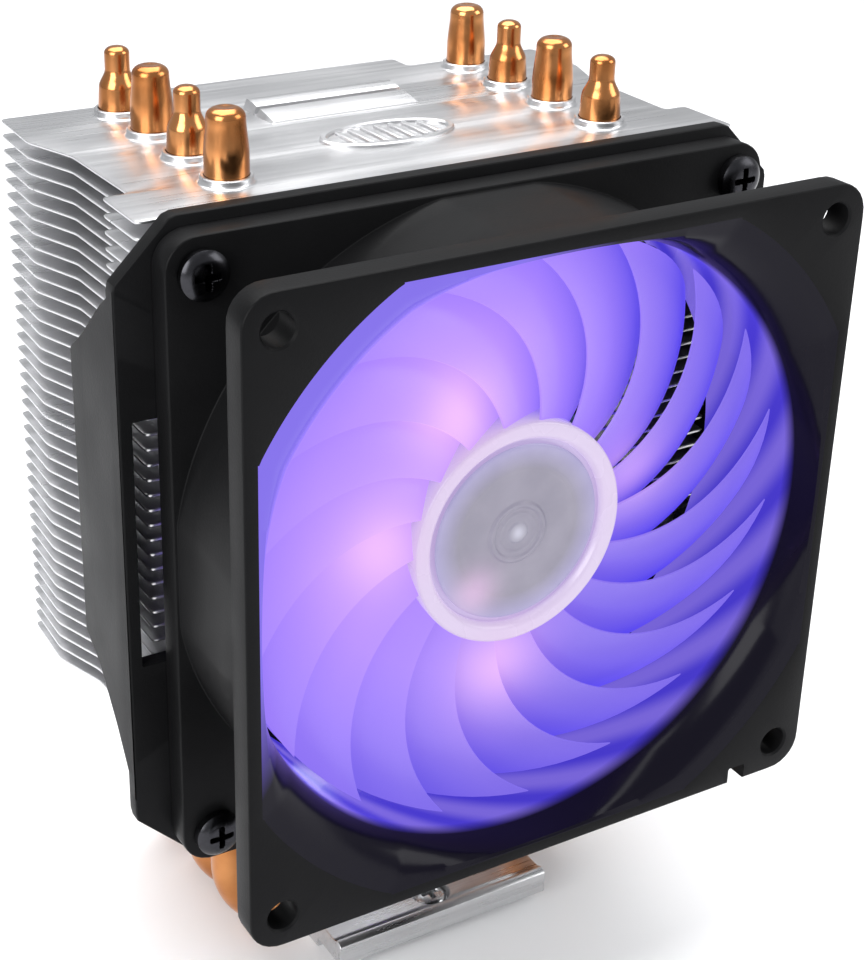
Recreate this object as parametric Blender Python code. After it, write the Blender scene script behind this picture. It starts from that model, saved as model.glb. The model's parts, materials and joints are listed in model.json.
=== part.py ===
"""Tower cooler for a processor: four copper heat pipes, a stack of aluminium fins, and a lit 92 mm fan
held on the front of the stack by a moulded clip-on bracket.

The frame: +Z up, Z = 0 on the underside of the base, Y = 0 on the middle of the base,
and the fan faces -Y.  Sizes are in millimetres and become metres when a mesh is made.
"""
import math

import bmesh
import bpy
import numpy as np
from mathutils import Vector
from mathutils.geometry import tessellate_polygon

MM = 0.001
GAP = 0.3                      # space left between pieces that touch
ROUND = 48                     # sides of the largest round shapes

# ---- heat pipes and base ----
PIPE_R = 3.0
PIPE_LEG_X = 29.6              # the two legs of each U stand this far from the middle
PIPE_PITCH = 12.0              # from pipe to pipe inside the fins
PIPE_PITCH_BASE = 9.6          # from pipe to pipe under the base
PIPE_COUNT = 4
PIPE_TOP = 136.0
PIPE_BEND_R = 12.0
PIPE_FLAT = (3.3, 2.3)         # half width and half height where a pipe lies flat in the base
PIPE_SIDES = 10
BASE_X = 19.0                  # half width
BASE_Y = 23.4                  # half depth of the contact face
BASE_TOP = 11.0
LEDGE_Y = 31.0                 # the ledges for the fixing bar reach out to here
LEDGE_Z = (1.7, 5.4)
BASE_SCREW_Y = 26.0
BASE_SCREW = (2.6, 1.5)        # radius and height of the head
BASE_RECESS = (3.1, 1.9)       # radius and depth of the recess that the head lies in

# ---- fins ----
FIN_COUNT = 38                 # below the top fin
FIN_T = 0.4
FIN_PITCH = 2.2
FIN_TOP = 126.0                # upper face of the top fin
FIN_FRONT = -27.4
FIN_BACK = 27.8
FIN_X = 46.4
FIN_TAB_Y = -16.4              # the clip of the bracket hooks behind the front corners here
FIN_WAIST_X = 42.8
FIN_STEP = (22.0, 22.9)        # x and y of the step in the rear edge
SLEEVE = (3.3, 3.8)            # half widths of the fin's sleeves around a pipe
COLLAR = (3.35, 3.95, 1.1)     # inner radius, outer radius and height of the top fin's collars

# ---- fan ----
FAN_Y = -55.6                  # front face of the fan
FAN_Z = 79.8                   # axis of the fan
FAN_D = 25.0
FAN_HALF = 46.0
FAN_CORNER_R = 4.5
FAN_HOLE = 41.25               # half of the spacing of the fixing holes
FAN_HOLE_R = 2.2
FLANGE_T = 4.2
DUCT_R = 46.0
DUCT_FLAT = 45.4
BORE_R = 43.6
MOUTH_R = 50.4
MOUTH_FLAT = 43.8
MOUTH_DEPTH = 6.5
MOTOR_R = 20.4                 # motor plate in the middle of the rear
STRUT_W = 4.2
STRUT_COUNT = 4

BLADE_COUNT = 18
BLADE_TIP_R = 42.4
BLADE_CHORD = (46.0, 11.0)            # degrees at the hub, and how much less at the tip
HUB_R = 16.4
HUB_Y = (9.8, 20.2)            # front and rear of the hub, measured from the fan's front face
HUB_WALL = 1.2
HUB_RECESS = 1.2               # depth of the recess for the hub's disc
SHAFT_R = 1.5
SHAFT_END = 23.5               # rear end of the shaft, also measured from the front face
SLEEVE_BEARING = (1.6, 2.7)    # bore and outer radius
BEARING_TUBE = (3.0, 3.7)
CLIP = (1.25, 2.6, 22.75, 23.15)       # inner radius, outer radius, front, rear
COIL_COUNT = 4
LAMP_COUNT = 4
LAMP_RING_R = 17.6
MOTOR_SKIN = 0.6               # what is left of the motor plate behind the bearing tube

# ---- bracket ----
BRACKET_X = 51.0
BRACKET_Z = 47.4
BRACKET_CUT = 8.0              # cut corners of the plate
BRACKET_T = 2.5
BRACKET_WALL = 1.8
WING_BACK = FIN_TAB_Y + GAP    # the lip of the clip starts here
WINDOW_Z = (-15.0, 21.0)       # measured from the fan's axis

ROTOR_ORIGIN = (0.0, FAN_Y, FAN_Z)


# ------------------------------------------------------------------ materials
def material(name, colour, roughness, metallic=0.0, transmission=0.0, emission=None):
    """A Principled material with one colour; `emission` is (colour, strength)."""
    mat = bpy.data.materials.new(name)
    mat.use_nodes = True
    shader = mat.node_tree.nodes["Principled BSDF"]
    shader.inputs["Base Color"].default_value = (*colour, 1.0)
    shader.inputs["Roughness"].default_value = roughness
    shader.inputs["Metallic"].default_value = metallic
    shader.inputs["Transmission Weight"].default_value = transmission
    if emission:
        shader.inputs["Emission Color"].default_value = (*emission[0], 1.0)
        shader.inputs["Emission Strength"].default_value = emission[1]
    mat.diffuse_color = (*colour, 1.0)
    return mat


# ------------------------------------------------------------------ mesh tools
def weld(mesh):
    """Join points that lie within a micrometre of each other and turn every face outwards."""
    bm = bmesh.new()
    bm.from_mesh(mesh)
    bmesh.ops.remove_doubles(bm, verts=bm.verts, dist=1e-6)
    bmesh.ops.recalc_face_normals(bm, faces=bm.faces)
    bm.to_mesh(mesh)
    bm.free()


def solid(name, verts, faces, mat, origin=(0.0, 0.0, 0.0), smooth_angle=35.0):
    """A mesh object from points in millimetres, with its origin at `origin`."""
    mesh = bpy.data.meshes.new(name)
    points = (np.asarray(verts, float) - np.asarray(origin, float)) * MM
    mesh.from_pydata(points.tolist(), [], [list(f) for f in faces])
    weld(mesh)
    mesh.shade_smooth()
    mesh.set_sharp_from_angle(angle=math.radians(smooth_angle))
    mesh.materials.append(mat)
    obj = bpy.data.objects.new(name, mesh)
    obj.location = Vector(origin) * MM
    bpy.context.scene.collection.objects.link(obj)
    return obj


def stack(rings):
    """Points and faces of a closed tube through equal rings, with flat ends."""
    count = len(rings[0])
    verts = [p for ring in rings for p in ring]
    faces = []
    for k in range(len(rings) - 1):
        for i in range(count):
            j = (i + 1) % count
            faces.append((k * count + i, k * count + j, (k + 1) * count + j, (k + 1) * count + i))
    faces.append(tuple(range(count)))
    faces.append(tuple(range((len(rings) - 1) * count, len(rings) * count)))
    return verts, faces


def prism_x(name, outline, x0, x1, mat, **more):
    """A straight prism along X from an outline of (y, z) points."""
    verts, faces = stack([[(x, y, z) for y, z in outline] for x in (x0, x1)])
    return solid(name, verts, faces, mat, **more)


def prism_y(name, outline, y0, y1, mat, **more):
    """A straight prism along Y from an outline of (x, z) points."""
    verts, faces = stack([[(x, y, z) for x, z in outline] for y in (y0, y1)])
    return solid(name, verts, faces, mat, **more)


def prism_z(name, outline, z0, z1, mat, **more):
    """A straight prism along Z from an outline of (x, y) points."""
    verts, faces = stack([[(x, y, z) for x, y in outline] for z in (z0, z1)])
    return solid(name, verts, faces, mat, **more)


def box(name, low, high, mat, **more):
    """A box between two corners."""
    outline = [(low[0], low[1]), (high[0], low[1]), (high[0], high[1]), (low[0], high[1])]
    return prism_z(name, outline, low[2], high[2], mat, **more)


def turned(name, profile, mat, sides=48, centre=(0.0, 0.0, 0.0), **more):
    """A solid turned about the Y direction through `centre`, from a closed loop of (radius, y).

    A loop that touches the axis has those points joined into one pole."""
    verts, faces = [], []
    count = len(profile)
    for k in range(sides):
        angle = 2 * math.pi * k / sides
        for radius, y in profile:
            verts.append((centre[0] + radius * math.cos(angle), centre[1] + y,
                          centre[2] + radius * math.sin(angle)))
    for k in range(sides):
        m = (k + 1) % sides
        for i in range(count):
            j = (i + 1) % count
            on_axis = [profile[p][0] < 1e-9 for p in (i, j)]
            if all(on_axis):
                continue
            quad = [k * count + i, k * count + j, m * count + j, m * count + i]
            if on_axis[0]:
                quad = quad[:3]
            elif on_axis[1]:
                quad = [quad[0], quad[1], quad[3]]
            faces.append(quad)
    return solid(name, verts, faces, mat, **more)


def combine(target, tool, operation):
    """Cut `tool` from `target` or join it on, then drop the tool."""
    modifier = target.modifiers.new(operation.title(), "BOOLEAN")
    modifier.operation = operation
    modifier.object = tool
    tool.hide_render = True
    tool.display_type = "WIRE"
    shape = bpy.data.meshes.new_from_object(target.evaluated_get(bpy.context.evaluated_depsgraph_get()))
    target.modifiers.clear()
    weld(shape)
    old = target.data
    shape.name = old.name
    target.data = shape
    bpy.data.meshes.remove(old)
    bpy.data.objects.remove(tool)
    return target


def circle(radius, sides, centre=(0.0, 0.0), turn=0.0):
    """Points around a circle."""
    return [(centre[0] + radius * math.cos(2 * math.pi * k / sides + turn),
             centre[1] + radius * math.sin(2 * math.pi * k / sides + turn)) for k in range(sides)]


def clipped_circle(radius, flat, sides):
    """A circle with its four sides cut flat, `flat` from the middle."""
    points = []
    for k in range(sides):
        angle = 2 * math.pi * (k + 0.5) / sides
        reach = min(radius, flat / max(abs(math.cos(angle)), abs(math.sin(angle))))
        points.append((reach * math.cos(angle), reach * math.sin(angle)))
    return points


def rounded_square(half, corner, steps):
    """A square with round corners."""
    points = []
    for quarter, (sx, sz) in enumerate(((1, 1), (-1, 1), (-1, -1), (1, -1))):
        for k in range(steps + 1):
            angle = math.pi / 2 * (quarter + k / steps)
            points.append((sx * (half - corner) + corner * math.cos(angle),
                           sz * (half - corner) + corner * math.sin(angle)))
    return points


def lifted(outline, z):
    """The (x, z) outline raised by z."""
    return [(x, h + z) for x, h in outline]


# ------------------------------------------------------------------ heat pipes and base
def pipe_row(index, pitch):
    """Y of pipe `index`, counted from the back of the cooler to the front."""
    return ((PIPE_COUNT - 1) / 2 - index) * pitch


def ease(t):
    """Smooth step from 0 to 1."""
    t = min(max(t, 0.0), 1.0)
    return t * t * (3 - 2 * t)


def pipe_half(side, leg_y, base_y):
    """Centre line of half a U, from the top of its leg to the middle of the base."""
    shift_top, shift_low = 38.0, PIPE_FLAT[1] + PIPE_BEND_R + 2.0
    points = [(side * PIPE_LEG_X, leg_y, z) for z in (PIPE_TOP - 7.0, 80.0, shift_top)]
    for k in range(1, 5):
        t = k / 4
        z = shift_top + (shift_low - shift_top) * t
        points.append((side * PIPE_LEG_X, leg_y + (base_y - leg_y) * ease(t), z))
    for k in range(0, 7):
        angle = math.pi / 2 * k / 6
        points.append((side * (PIPE_LEG_X - PIPE_BEND_R * (1 - math.cos(angle))), base_y,
                       PIPE_FLAT[1] + PIPE_BEND_R * (1 - math.sin(angle))))
    points.append((side * 6.0, base_y, PIPE_FLAT[1]))
    return points


def pipe_end(nipple):
    """(distance below the tip, radius) of the closed end of a pipe, from the tip down."""
    if nipple:
        return [(0.0, 0.9), (0.25, 1.5), (0.8, 1.85), (3.6, 1.9), (5.0, 2.5), (6.2, PIPE_R)]
    return [(0.0, 1.9), (0.3, 2.5), (0.9, 2.9), (1.8, PIPE_R)]


def heat_pipe(index, mat):
    """A U-shaped pipe: round in its legs, pressed flat under the base, closed at both tips.

    One tip is plain and the other has a filling nipple; the pipes lie alternate ways round."""
    leg_y, base_y = pipe_row(index, PIPE_PITCH), pipe_row(index, PIPE_PITCH_BASE)
    left, right = pipe_half(-1, leg_y, base_y), pipe_half(1, leg_y, base_y)
    nipple_left = index % 2 == 0
    line = [((-PIPE_LEG_X, leg_y, PIPE_TOP - d), r) for d, r in pipe_end(nipple_left)]
    line += [(p, PIPE_R) for p in left + right[::-1]]
    line += [((PIPE_LEG_X, leg_y, PIPE_TOP - d), r) for d, r in pipe_end(not nipple_left)[::-1]]
    centres = np.array([p for p, _ in line])
    tangents = np.gradient(centres, axis=0)
    rings = []
    for (point, radius), tangent in zip(line, tangents):
        tangent = Vector(tangent).normalized()
        across = (Vector((0, 1, 0)) - tangent * tangent.y).normalized()
        up = tangent.cross(across)
        flat = ease((PIPE_LEG_X - PIPE_BEND_R * 0.45 - abs(point[0])) / (PIPE_BEND_R * 0.5))
        wide = radius + (PIPE_FLAT[0] - radius) * flat
        high = radius + (PIPE_FLAT[1] - radius) * flat
        power = 1.0 - 0.45 * flat
        ring = []
        for k in range(PIPE_SIDES):
            angle = 2 * math.pi * (k + 0.5) / PIPE_SIDES
            c, s = math.cos(angle), math.sin(angle)
            reach_c = math.copysign(abs(c) ** power, c) * wide
            reach_s = math.copysign(min(abs(s) ** power * 1.02, 1.0), s) * high
            ring.append(Vector(point) + across * reach_c + up * reach_s)
        if flat >= 1.0:
            ring = [Vector((p.x, p.y, max(p.z, 0.0))) for p in ring]
        rings.append(ring)
    verts, faces = stack(rings)
    return solid("heat_pipe_%d" % (index + 1), verts, faces, mat)


def base_block(mat):
    """Aluminium base: grooves underneath hold the four pipes, ledges in front and behind take the bar."""
    lip, lip_rise = 1.2, 0.5
    half = [(BASE_Y, 0.0), (BASE_Y, LEDGE_Z[0]), (LEDGE_Y, LEDGE_Z[0]), (LEDGE_Y, LEDGE_Z[1]),
            (LEDGE_Y - lip, LEDGE_Z[1] + lip_rise), (LEDGE_Y - 2 * lip, LEDGE_Z[1]),
            (BASE_Y - 2.0, LEDGE_Z[1]), (BASE_Y - 4.0, BASE_TOP)]
    outline = half + [(-y, z) for y, z in half[::-1]]
    block = prism_x("base_block", outline, -BASE_X, BASE_X, mat)
    for index in range(PIPE_COUNT):
        y = pipe_row(index, PIPE_PITCH_BASE)
        half_w, top = PIPE_FLAT[0] + GAP, 2 * PIPE_FLAT[1] + GAP + 0.1
        groove = [(y - half_w, -2.0), (y + half_w, -2.0), (y + half_w, top - 1.0),
                  (y + half_w - 1.0, top), (y - half_w + 1.0, top), (y - half_w, top - 1.0)]
        combine(block, prism_x("groove", groove, -BASE_X - 5, BASE_X + 5, mat), "DIFFERENCE")
    recess_r, recess_floor = BASE_RECESS[0], LEDGE_Z[1] - BASE_RECESS[1]
    for side in (-1, 1):
        centre = (0.0, side * BASE_SCREW_Y)
        combine(block, prism_z("hole", circle(1.6, 16, centre), -1.0, BASE_TOP, mat), "DIFFERENCE")
        recess = prism_z("recess", circle(recess_r, 20, centre), recess_floor, BASE_TOP, mat)
        combine(block, recess, "DIFFERENCE")
    return block


def base_screw(name, y, mat):
    """A pan-head screw let into its ledge, pointing down, with a cross recess."""
    seat, shank_r, reach, sides = LEDGE_Z[1] - BASE_RECESS[1], 1.25, 1.5, 14
    head_r, head_h = BASE_SCREW
    top = GAP + head_h
    profile = [(shank_r - 0.4, -reach), (shank_r, -reach + 0.4), (shank_r, GAP), (head_r, GAP),
               (head_r, GAP + head_h * 0.5), (head_r * 0.7, top)]
    rings = [[(px, py, seat + z) for px, py in circle(r, sides, (0.0, y))] for r, z in profile]
    verts, faces = stack(rings)
    screw = solid(name, verts, faces, mat, origin=(0.0, y, seat))
    arm_l, arm_w, depth = head_r * 0.55, 0.32, 0.8
    low_z, high_z = seat + top - depth, seat + top + 1.0
    for half_x, half_y in ((arm_l, arm_w), (arm_w, arm_l)):
        arm = box("arm", (-half_x, y - half_y, low_z), (half_x, y + half_y, high_z), mat)
        combine(screw, arm, "DIFFERENCE")
    return screw


# ------------------------------------------------------------------ fins
def fin_outline():
    """(x, y) outline of every fin: hooked front corners, a narrow waist and a stepped rear edge."""
    right = [(FIN_X, FIN_FRONT), (FIN_X, FIN_TAB_Y), (FIN_WAIST_X, FIN_TAB_Y), (FIN_WAIST_X + 0.4, 2.0),
             (FIN_X - 0.2, 11.0), (FIN_X - 0.6, FIN_STEP[1] + 0.3), FIN_STEP, (FIN_STEP[0], FIN_BACK)]
    return right + [(-x, y) for x, y in right[::-1]]


def square(half, x, y):
    """Corners of a square around a pipe."""
    return [(x - half, y - half), (x + half, y - half), (x + half, y + half), (x - half, y + half)]


def pipe_places():
    """The eight places where a pipe's leg passes through the fins."""
    rows = [pipe_row(index, PIPE_PITCH) for index in range(PIPE_COUNT)]
    return [(side * PIPE_LEG_X, y) for side in (-1, 1) for y in rows]


def fin_stack(mat):
    """All fins but the top one, each drawn down into sleeves that stand on the fin below."""
    bm = bmesh.new()
    low = FIN_TOP - FIN_T - FIN_COUNT * FIN_PITCH
    outline = fin_outline()
    places = pipe_places()
    top_of_stack = low + (FIN_COUNT - 1) * FIN_PITCH + FIN_T

    def loop(points, z):
        return [bm.verts.new((x * MM, y * MM, z * MM)) for x, y in points]

    def wall(lower, upper):
        for i in range(len(lower)):
            j = (i + 1) % len(lower)
            bm.faces.new((lower[i], lower[j], upper[j], upper[i]))

    def sheet(rim, holes):
        corners = [vert for ring in [rim] + holes for vert in ring]
        for triple in tessellate_polygon([[vert.co / MM for vert in ring] for ring in [rim] + holes]):
            bm.faces.new([corners[i] for i in triple])

    bores_low = [loop(square(SLEEVE[0], x, y), low) for x, y in places]
    bores_top = [loop(square(SLEEVE[0], x, y), top_of_stack) for x, y in places]
    sleeves = None
    for k in range(FIN_COUNT):
        z = low + k * FIN_PITCH
        rim_low, rim_top = loop(outline, z), loop(outline, z + FIN_T)
        wall(rim_low, rim_top)
        if k == 0:
            sheet(rim_low, bores_low)
        else:
            arrive = [loop(square(SLEEVE[1], x, y), z) for x, y in places]
            for start, end in zip(sleeves, arrive):
                wall(start, end)
            sheet(rim_low, arrive)
        if k == FIN_COUNT - 1:
            sheet(rim_top, bores_top)
        else:
            sleeves = [loop(square(SLEEVE[1], x, y), z + FIN_T) for x, y in places]
            sheet(rim_top, sleeves)
    for start, end in zip(bores_low, bores_top):
        wall(start, end)
    bmesh.ops.recalc_face_normals(bm, faces=bm.faces)
    mesh = bpy.data.meshes.new("fin_stack")
    bm.to_mesh(mesh)
    bm.free()
    mesh.materials.append(mat)
    obj = bpy.data.objects.new("fin_stack", mesh)
    bpy.context.scene.collection.objects.link(obj)
    return obj


def top_fin(mat):
    """The uppermost fin, with a collar drawn up around each pipe, a raised rib and a plain oval badge."""
    fin = prism_z("top_fin", fin_outline(), FIN_TOP - FIN_T, FIN_TOP, mat)
    bore_r, collar_r, rise = COLLAR
    middle, sides = FIN_TOP - FIN_T / 2, 12
    for x, y in pipe_places():
        collar = prism_z("collar", circle(collar_r, sides, (x, y)), middle, FIN_TOP + rise, mat)
        combine(fin, collar, "UNION")
    for x, y in pipe_places():
        bore = prism_z("bore", circle(bore_r, sides, (x, y)), FIN_TOP - 3.0, FIN_TOP + 3.0, mat)
        combine(fin, bore, "DIFFERENCE")
    rib_x, rib_y, rib_rise = 12.6, (3.0, 12.2), 1.5
    rib = [(rib_y[0], middle), (rib_y[1], middle),
           (rib_y[1], FIN_TOP + rib_rise), (rib_y[1] - 0.6, FIN_TOP + rib_rise)]
    combine(fin, prism_x("rib", rib, -rib_x, rib_x, mat), "UNION")
    badge_y, badge, border, badge_rise = -8.5, (10.5, 5.6), 1.3, 0.5
    ring = [(badge[0] * c, badge_y + badge[1] * s) for c, s in circle(1.0, 28)]
    inner = [((badge[0] - border) * c, badge_y + (badge[1] - border) * s) for c, s in circle(1.0, 28)]
    oval = prism_z("oval", ring, middle, FIN_TOP + badge_rise, mat)
    combine(oval, prism_z("inner", inner, FIN_TOP - 2.0, FIN_TOP + 2.0, mat), "DIFFERENCE")
    combine(fin, oval, "UNION")
    return fin


# ------------------------------------------------------------------ fan frame and bracket
def at_fan(depth):
    """Y of a place `depth` behind the fan's front face."""
    return FAN_Y + depth


def corner_places():
    """(x, z) of the four fixing holes of the fan."""
    return [(sx * FAN_HOLE, FAN_Z + sz * FAN_HOLE) for sx, sz in ((-1, 1), (1, 1), (1, -1), (-1, -1))]


def fan_frame(mat):
    """Square flanges joined by a round duct, with a wide mouth, four struts and the motor plate."""
    origin = (0.0, FAN_Y, FAN_Z)
    square_plate = lifted(rounded_square(FAN_HALF, FAN_CORNER_R, 5), FAN_Z)
    duct = lifted(clipped_circle(DUCT_R, DUCT_FLAT, ROUND), FAN_Z)
    frame = prism_y("fan_frame", duct, at_fan(1.0), at_fan(FAN_D - 1.0), mat, origin=origin)
    for low, high in ((0.0, FLANGE_T), (FAN_D - FLANGE_T, FAN_D)):
        combine(frame, prism_y("flange", square_plate, at_fan(low), at_fan(high), mat), "UNION")
    combine(frame, prism_y("bore", lifted(circle(BORE_R, ROUND, turn=math.pi / ROUND), FAN_Z),
                           at_fan(-2.0), at_fan(FAN_D + 2.0), mat), "DIFFERENCE")
    rings = []
    for k in range(-1, 4):
        t = max(k, 0) / 3
        swell = 1 - math.sqrt(1 - (1 - t) ** 2)
        outline = clipped_circle(BORE_R - 0.02 + (MOUTH_R - BORE_R) * swell,
                                 BORE_R + 0.01 + (MOUTH_FLAT - BORE_R) * swell, ROUND)
        rings.append([(x, at_fan(t * MOUTH_DEPTH + min(k, 0)), z + FAN_Z) for x, z in outline])
    verts, faces = stack(rings)
    combine(frame, solid("mouth", verts, faces, mat), "DIFFERENCE")
    plate = prism_y("plate", lifted(circle(MOTOR_R, 40), FAN_Z), at_fan(FAN_D - 2.2), at_fan(FAN_D), mat)
    for k in range(STRUT_COUNT):
        angle = math.pi / 4 + 2 * math.pi * k / STRUT_COUNT
        along, side = (math.cos(angle), math.sin(angle)), (-math.sin(angle), math.cos(angle))
        inner, outer, half = MOTOR_R - 0.8, DUCT_R - 1.0, STRUT_W / 2
        strut = [(along[0] * r + side[0] * w, FAN_Z + along[1] * r + side[1] * w)
                 for r, w in ((inner, -half), (outer, -half), (outer, half), (inner, half))]
        combine(plate, prism_y("strut", strut, at_fan(FAN_D - 3.0), at_fan(FAN_D - 0.2), mat), "UNION")
    socket_r, socket_wall, sides = BEARING_TUBE[1] + GAP, 1.2, 20
    socket = lifted(circle(socket_r + socket_wall, sides), FAN_Z)
    combine(plate, prism_y("socket", socket, at_fan(FAN_D - 5.0), at_fan(FAN_D - 1.0), mat), "UNION")
    combine(plate, prism_y("tube_bore", lifted(circle(socket_r, sides), FAN_Z),
                           at_fan(FAN_D - 6.0), at_fan(FAN_D - MOTOR_SKIN), mat), "DIFFERENCE")
    combine(frame, plate, "UNION")
    for x, z in corner_places():
        hole = prism_y("hole", circle(FAN_HOLE_R, 16, (x, z)), at_fan(-1.0), at_fan(FAN_D + 1.0), mat)
        combine(frame, hole, "DIFFERENCE")
    notch = box("notch", (33.0, at_fan(-1.0), FAN_Z - FAN_HALF - 1.0),
                (36.0, at_fan(FLANGE_T + 1.0), FAN_Z - FAN_HALF + 2.6), mat)
    combine(frame, notch, "DIFFERENCE")
    exit_notch = box("exit_notch", (28.0, at_fan(FAN_D - FLANGE_T - 1.0), FAN_Z - FAN_HALF - 1.0),
                     (33.0, at_fan(FAN_D + 1.0), FAN_Z - FAN_HALF + 2.0), mat)
    combine(frame, exit_notch, "DIFFERENCE")
    return frame


def fan_bracket(mat):
    """Clip-on bracket: an eight-sided plate behind the fan, with a wing each side that grips the fins."""
    front, back = FAN_Y + FAN_D + GAP, FAN_Y + FAN_D + GAP + BRACKET_T
    corners = [(BRACKET_X, BRACKET_Z - BRACKET_CUT), (BRACKET_X - BRACKET_CUT, BRACKET_Z)]
    corners += [(-x, z) for x, z in corners[::-1]]
    corners += [(x, -z) for x, z in corners[::-1]]
    bracket = prism_y("fan_bracket", lifted(corners, FAN_Z), front, back, mat)
    opening = lifted(circle(BORE_R + 1.0, ROUND, turn=math.pi / ROUND), FAN_Z)
    combine(bracket, prism_y("opening", opening, front - 2.0, back + 2.0, mat), "DIFFERENCE")
    slot = box("slot", (-BRACKET_X + BRACKET_WALL, front - 2.0, FAN_Z + WINDOW_Z[0]),
               (BRACKET_X - BRACKET_WALL, back + 2.0, FAN_Z + WINDOW_Z[1]), mat)
    combine(bracket, slot, "DIFFERENCE")
    lip_back, lip_in = WING_BACK + BRACKET_WALL, FIN_WAIST_X + 2.2
    wing = [(front, -36.5), (front + 6.0, -27.0), (front + 11.5, -20.0), (lip_back, -17.0),
            (lip_back, 26.0), (front + 12.0, 29.0), (front + 5.0, 35.5), (front, 39.3)]
    for side in (-1, 1):
        xs = sorted((side * (BRACKET_X - BRACKET_WALL), side * BRACKET_X))
        wall = prism_x("wall", [(y, z + FAN_Z) for y, z in wing], xs[0], xs[1], mat)
        combine(bracket, wall, "UNION")
        xs = sorted((side * lip_in, side * (BRACKET_X - 0.5)))
        lip = box("lip", (xs[0], WING_BACK, FAN_Z - 14.0), (xs[1], lip_back, FAN_Z + 23.0), mat)
        combine(bracket, lip, "UNION")
    for x, z in corner_places():
        hole = prism_y("hole", circle(FAN_HOLE_R - 0.3, 16, (x, z)), front - 1.0, back + 1.0, mat)
        combine(bracket, hole, "DIFFERENCE")
    return bracket


def fan_screw(index, mat):
    """Pan-head screw through the fan's rear flange into the bracket, with a cross recess."""
    x, z = corner_places()[index]
    seat = at_fan(FAN_D - FLANGE_T)
    head_r, head_h, shank_r, reach = 3.3, 2.0, 1.5, FLANGE_T + BRACKET_T
    centre = (x, seat, z)
    profile = [(0.0, -GAP - head_h), (head_r * 0.65, -GAP - head_h), (head_r, -GAP - head_h * 0.45),
               (head_r, -GAP), (shank_r, -GAP), (shank_r, reach - 0.6), (0.0, reach)]
    screw = turned("fan_screw_%d" % (index + 1), profile, mat, sides=12, centre=centre, origin=centre)
    for half_x, half_z in ((1.8, 0.35), (0.35, 1.8)):
        arm = box("arm", (x - half_x, seat - GAP - head_h - 1.0, z - half_z),
                  (x + half_x, seat - GAP - head_h + 0.9, z + half_z), mat)
        combine(screw, arm, "DIFFERENCE")
    return screw


# ------------------------------------------------------------------ rotor
def blade_point(r, t, face):
    """A point on a blade: `r` is the radius, `t` runs from the front edge (0) to the rear edge (1).

    The blade leans back as it turns, sweeps forward to its tip, and is thickest near its front edge."""
    s = (r - HUB_R) / (BLADE_TIP_R - HUB_R)
    sweep = math.radians(34.0) * (0.55 * s + 0.45 * s * s)
    chord_angle = math.radians(BLADE_CHORD[0] - BLADE_CHORD[1] * s)
    front, rear = 10.6 - 2.0 * s, 19.6
    camber = 0.9 * math.sin(math.pi * t)
    angle = sweep - chord_angle * t
    y = front + (rear - front) * t - camber
    half = (0.62 - 0.24 * s) * math.sqrt(max(math.sin(math.pi * min(0.06 + t * 0.88, 1.0)), 0.02))
    rise = rear - front
    run = r * chord_angle
    norm = math.hypot(rise, run)
    angle += face * half * (rise / norm) / r
    y += face * half * (run / norm)
    return (r * math.cos(angle), y, r * math.sin(angle))


def impeller(mat):
    """Moulded hub with eighteen swept blades; the hub is a cup that is open to the rear."""
    front, rear = HUB_Y
    floor, inner = front + HUB_RECESS, front + HUB_RECESS + 1.4
    profile = [(0.0, floor), (13.6, floor), (14.2, front + 0.2), (14.6, front),
               (HUB_R - 0.6, front), (HUB_R, front + 0.6), (HUB_R, rear), (HUB_R - HUB_WALL, rear),
               (HUB_R - HUB_WALL, inner), (0.0, inner)]
    hub = turned("impeller", profile, mat, sides=36, centre=ROTOR_ORIGIN, origin=ROTOR_ORIGIN)
    radii = np.linspace(HUB_R - 0.55, BLADE_TIP_R, 4)
    chord = np.linspace(0.0, 1.0, 6)
    verts, faces = [], []
    for k in range(BLADE_COUNT):
        turn = 2 * math.pi * k / BLADE_COUNT
        cos, sin = math.cos(turn), math.sin(turn)
        rings = []
        for r in radii:
            loop = [blade_point(r, t, -1) for t in chord] + [blade_point(r, t, 1) for t in chord[::-1]]
            rings.append([(x * cos - z * sin, y + FAN_Y, x * sin + z * cos + FAN_Z) for x, y, z in loop])
        points, quads = stack(rings)
        faces += [tuple(i + len(verts) for i in quad) for quad in quads]
        verts += points
    combine(hub, solid("blades", verts, faces, mat, origin=ROTOR_ORIGIN), "UNION")
    return hub


def hub_disc(mat):
    """Plain round disc let into the front of the hub."""
    back, disc_r, boss_r = HUB_Y[0] + HUB_RECESS - GAP, 13.0, 4.0
    profile = [(0.0, back - 0.5), (boss_r, back - 0.5), (boss_r + 0.4, back - 0.2), (disc_r, back - 0.2),
               (disc_r, back), (0.0, back)]
    return turned("hub_disc", profile, mat, sides=32, centre=ROTOR_ORIGIN, origin=ROTOR_ORIGIN)


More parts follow.
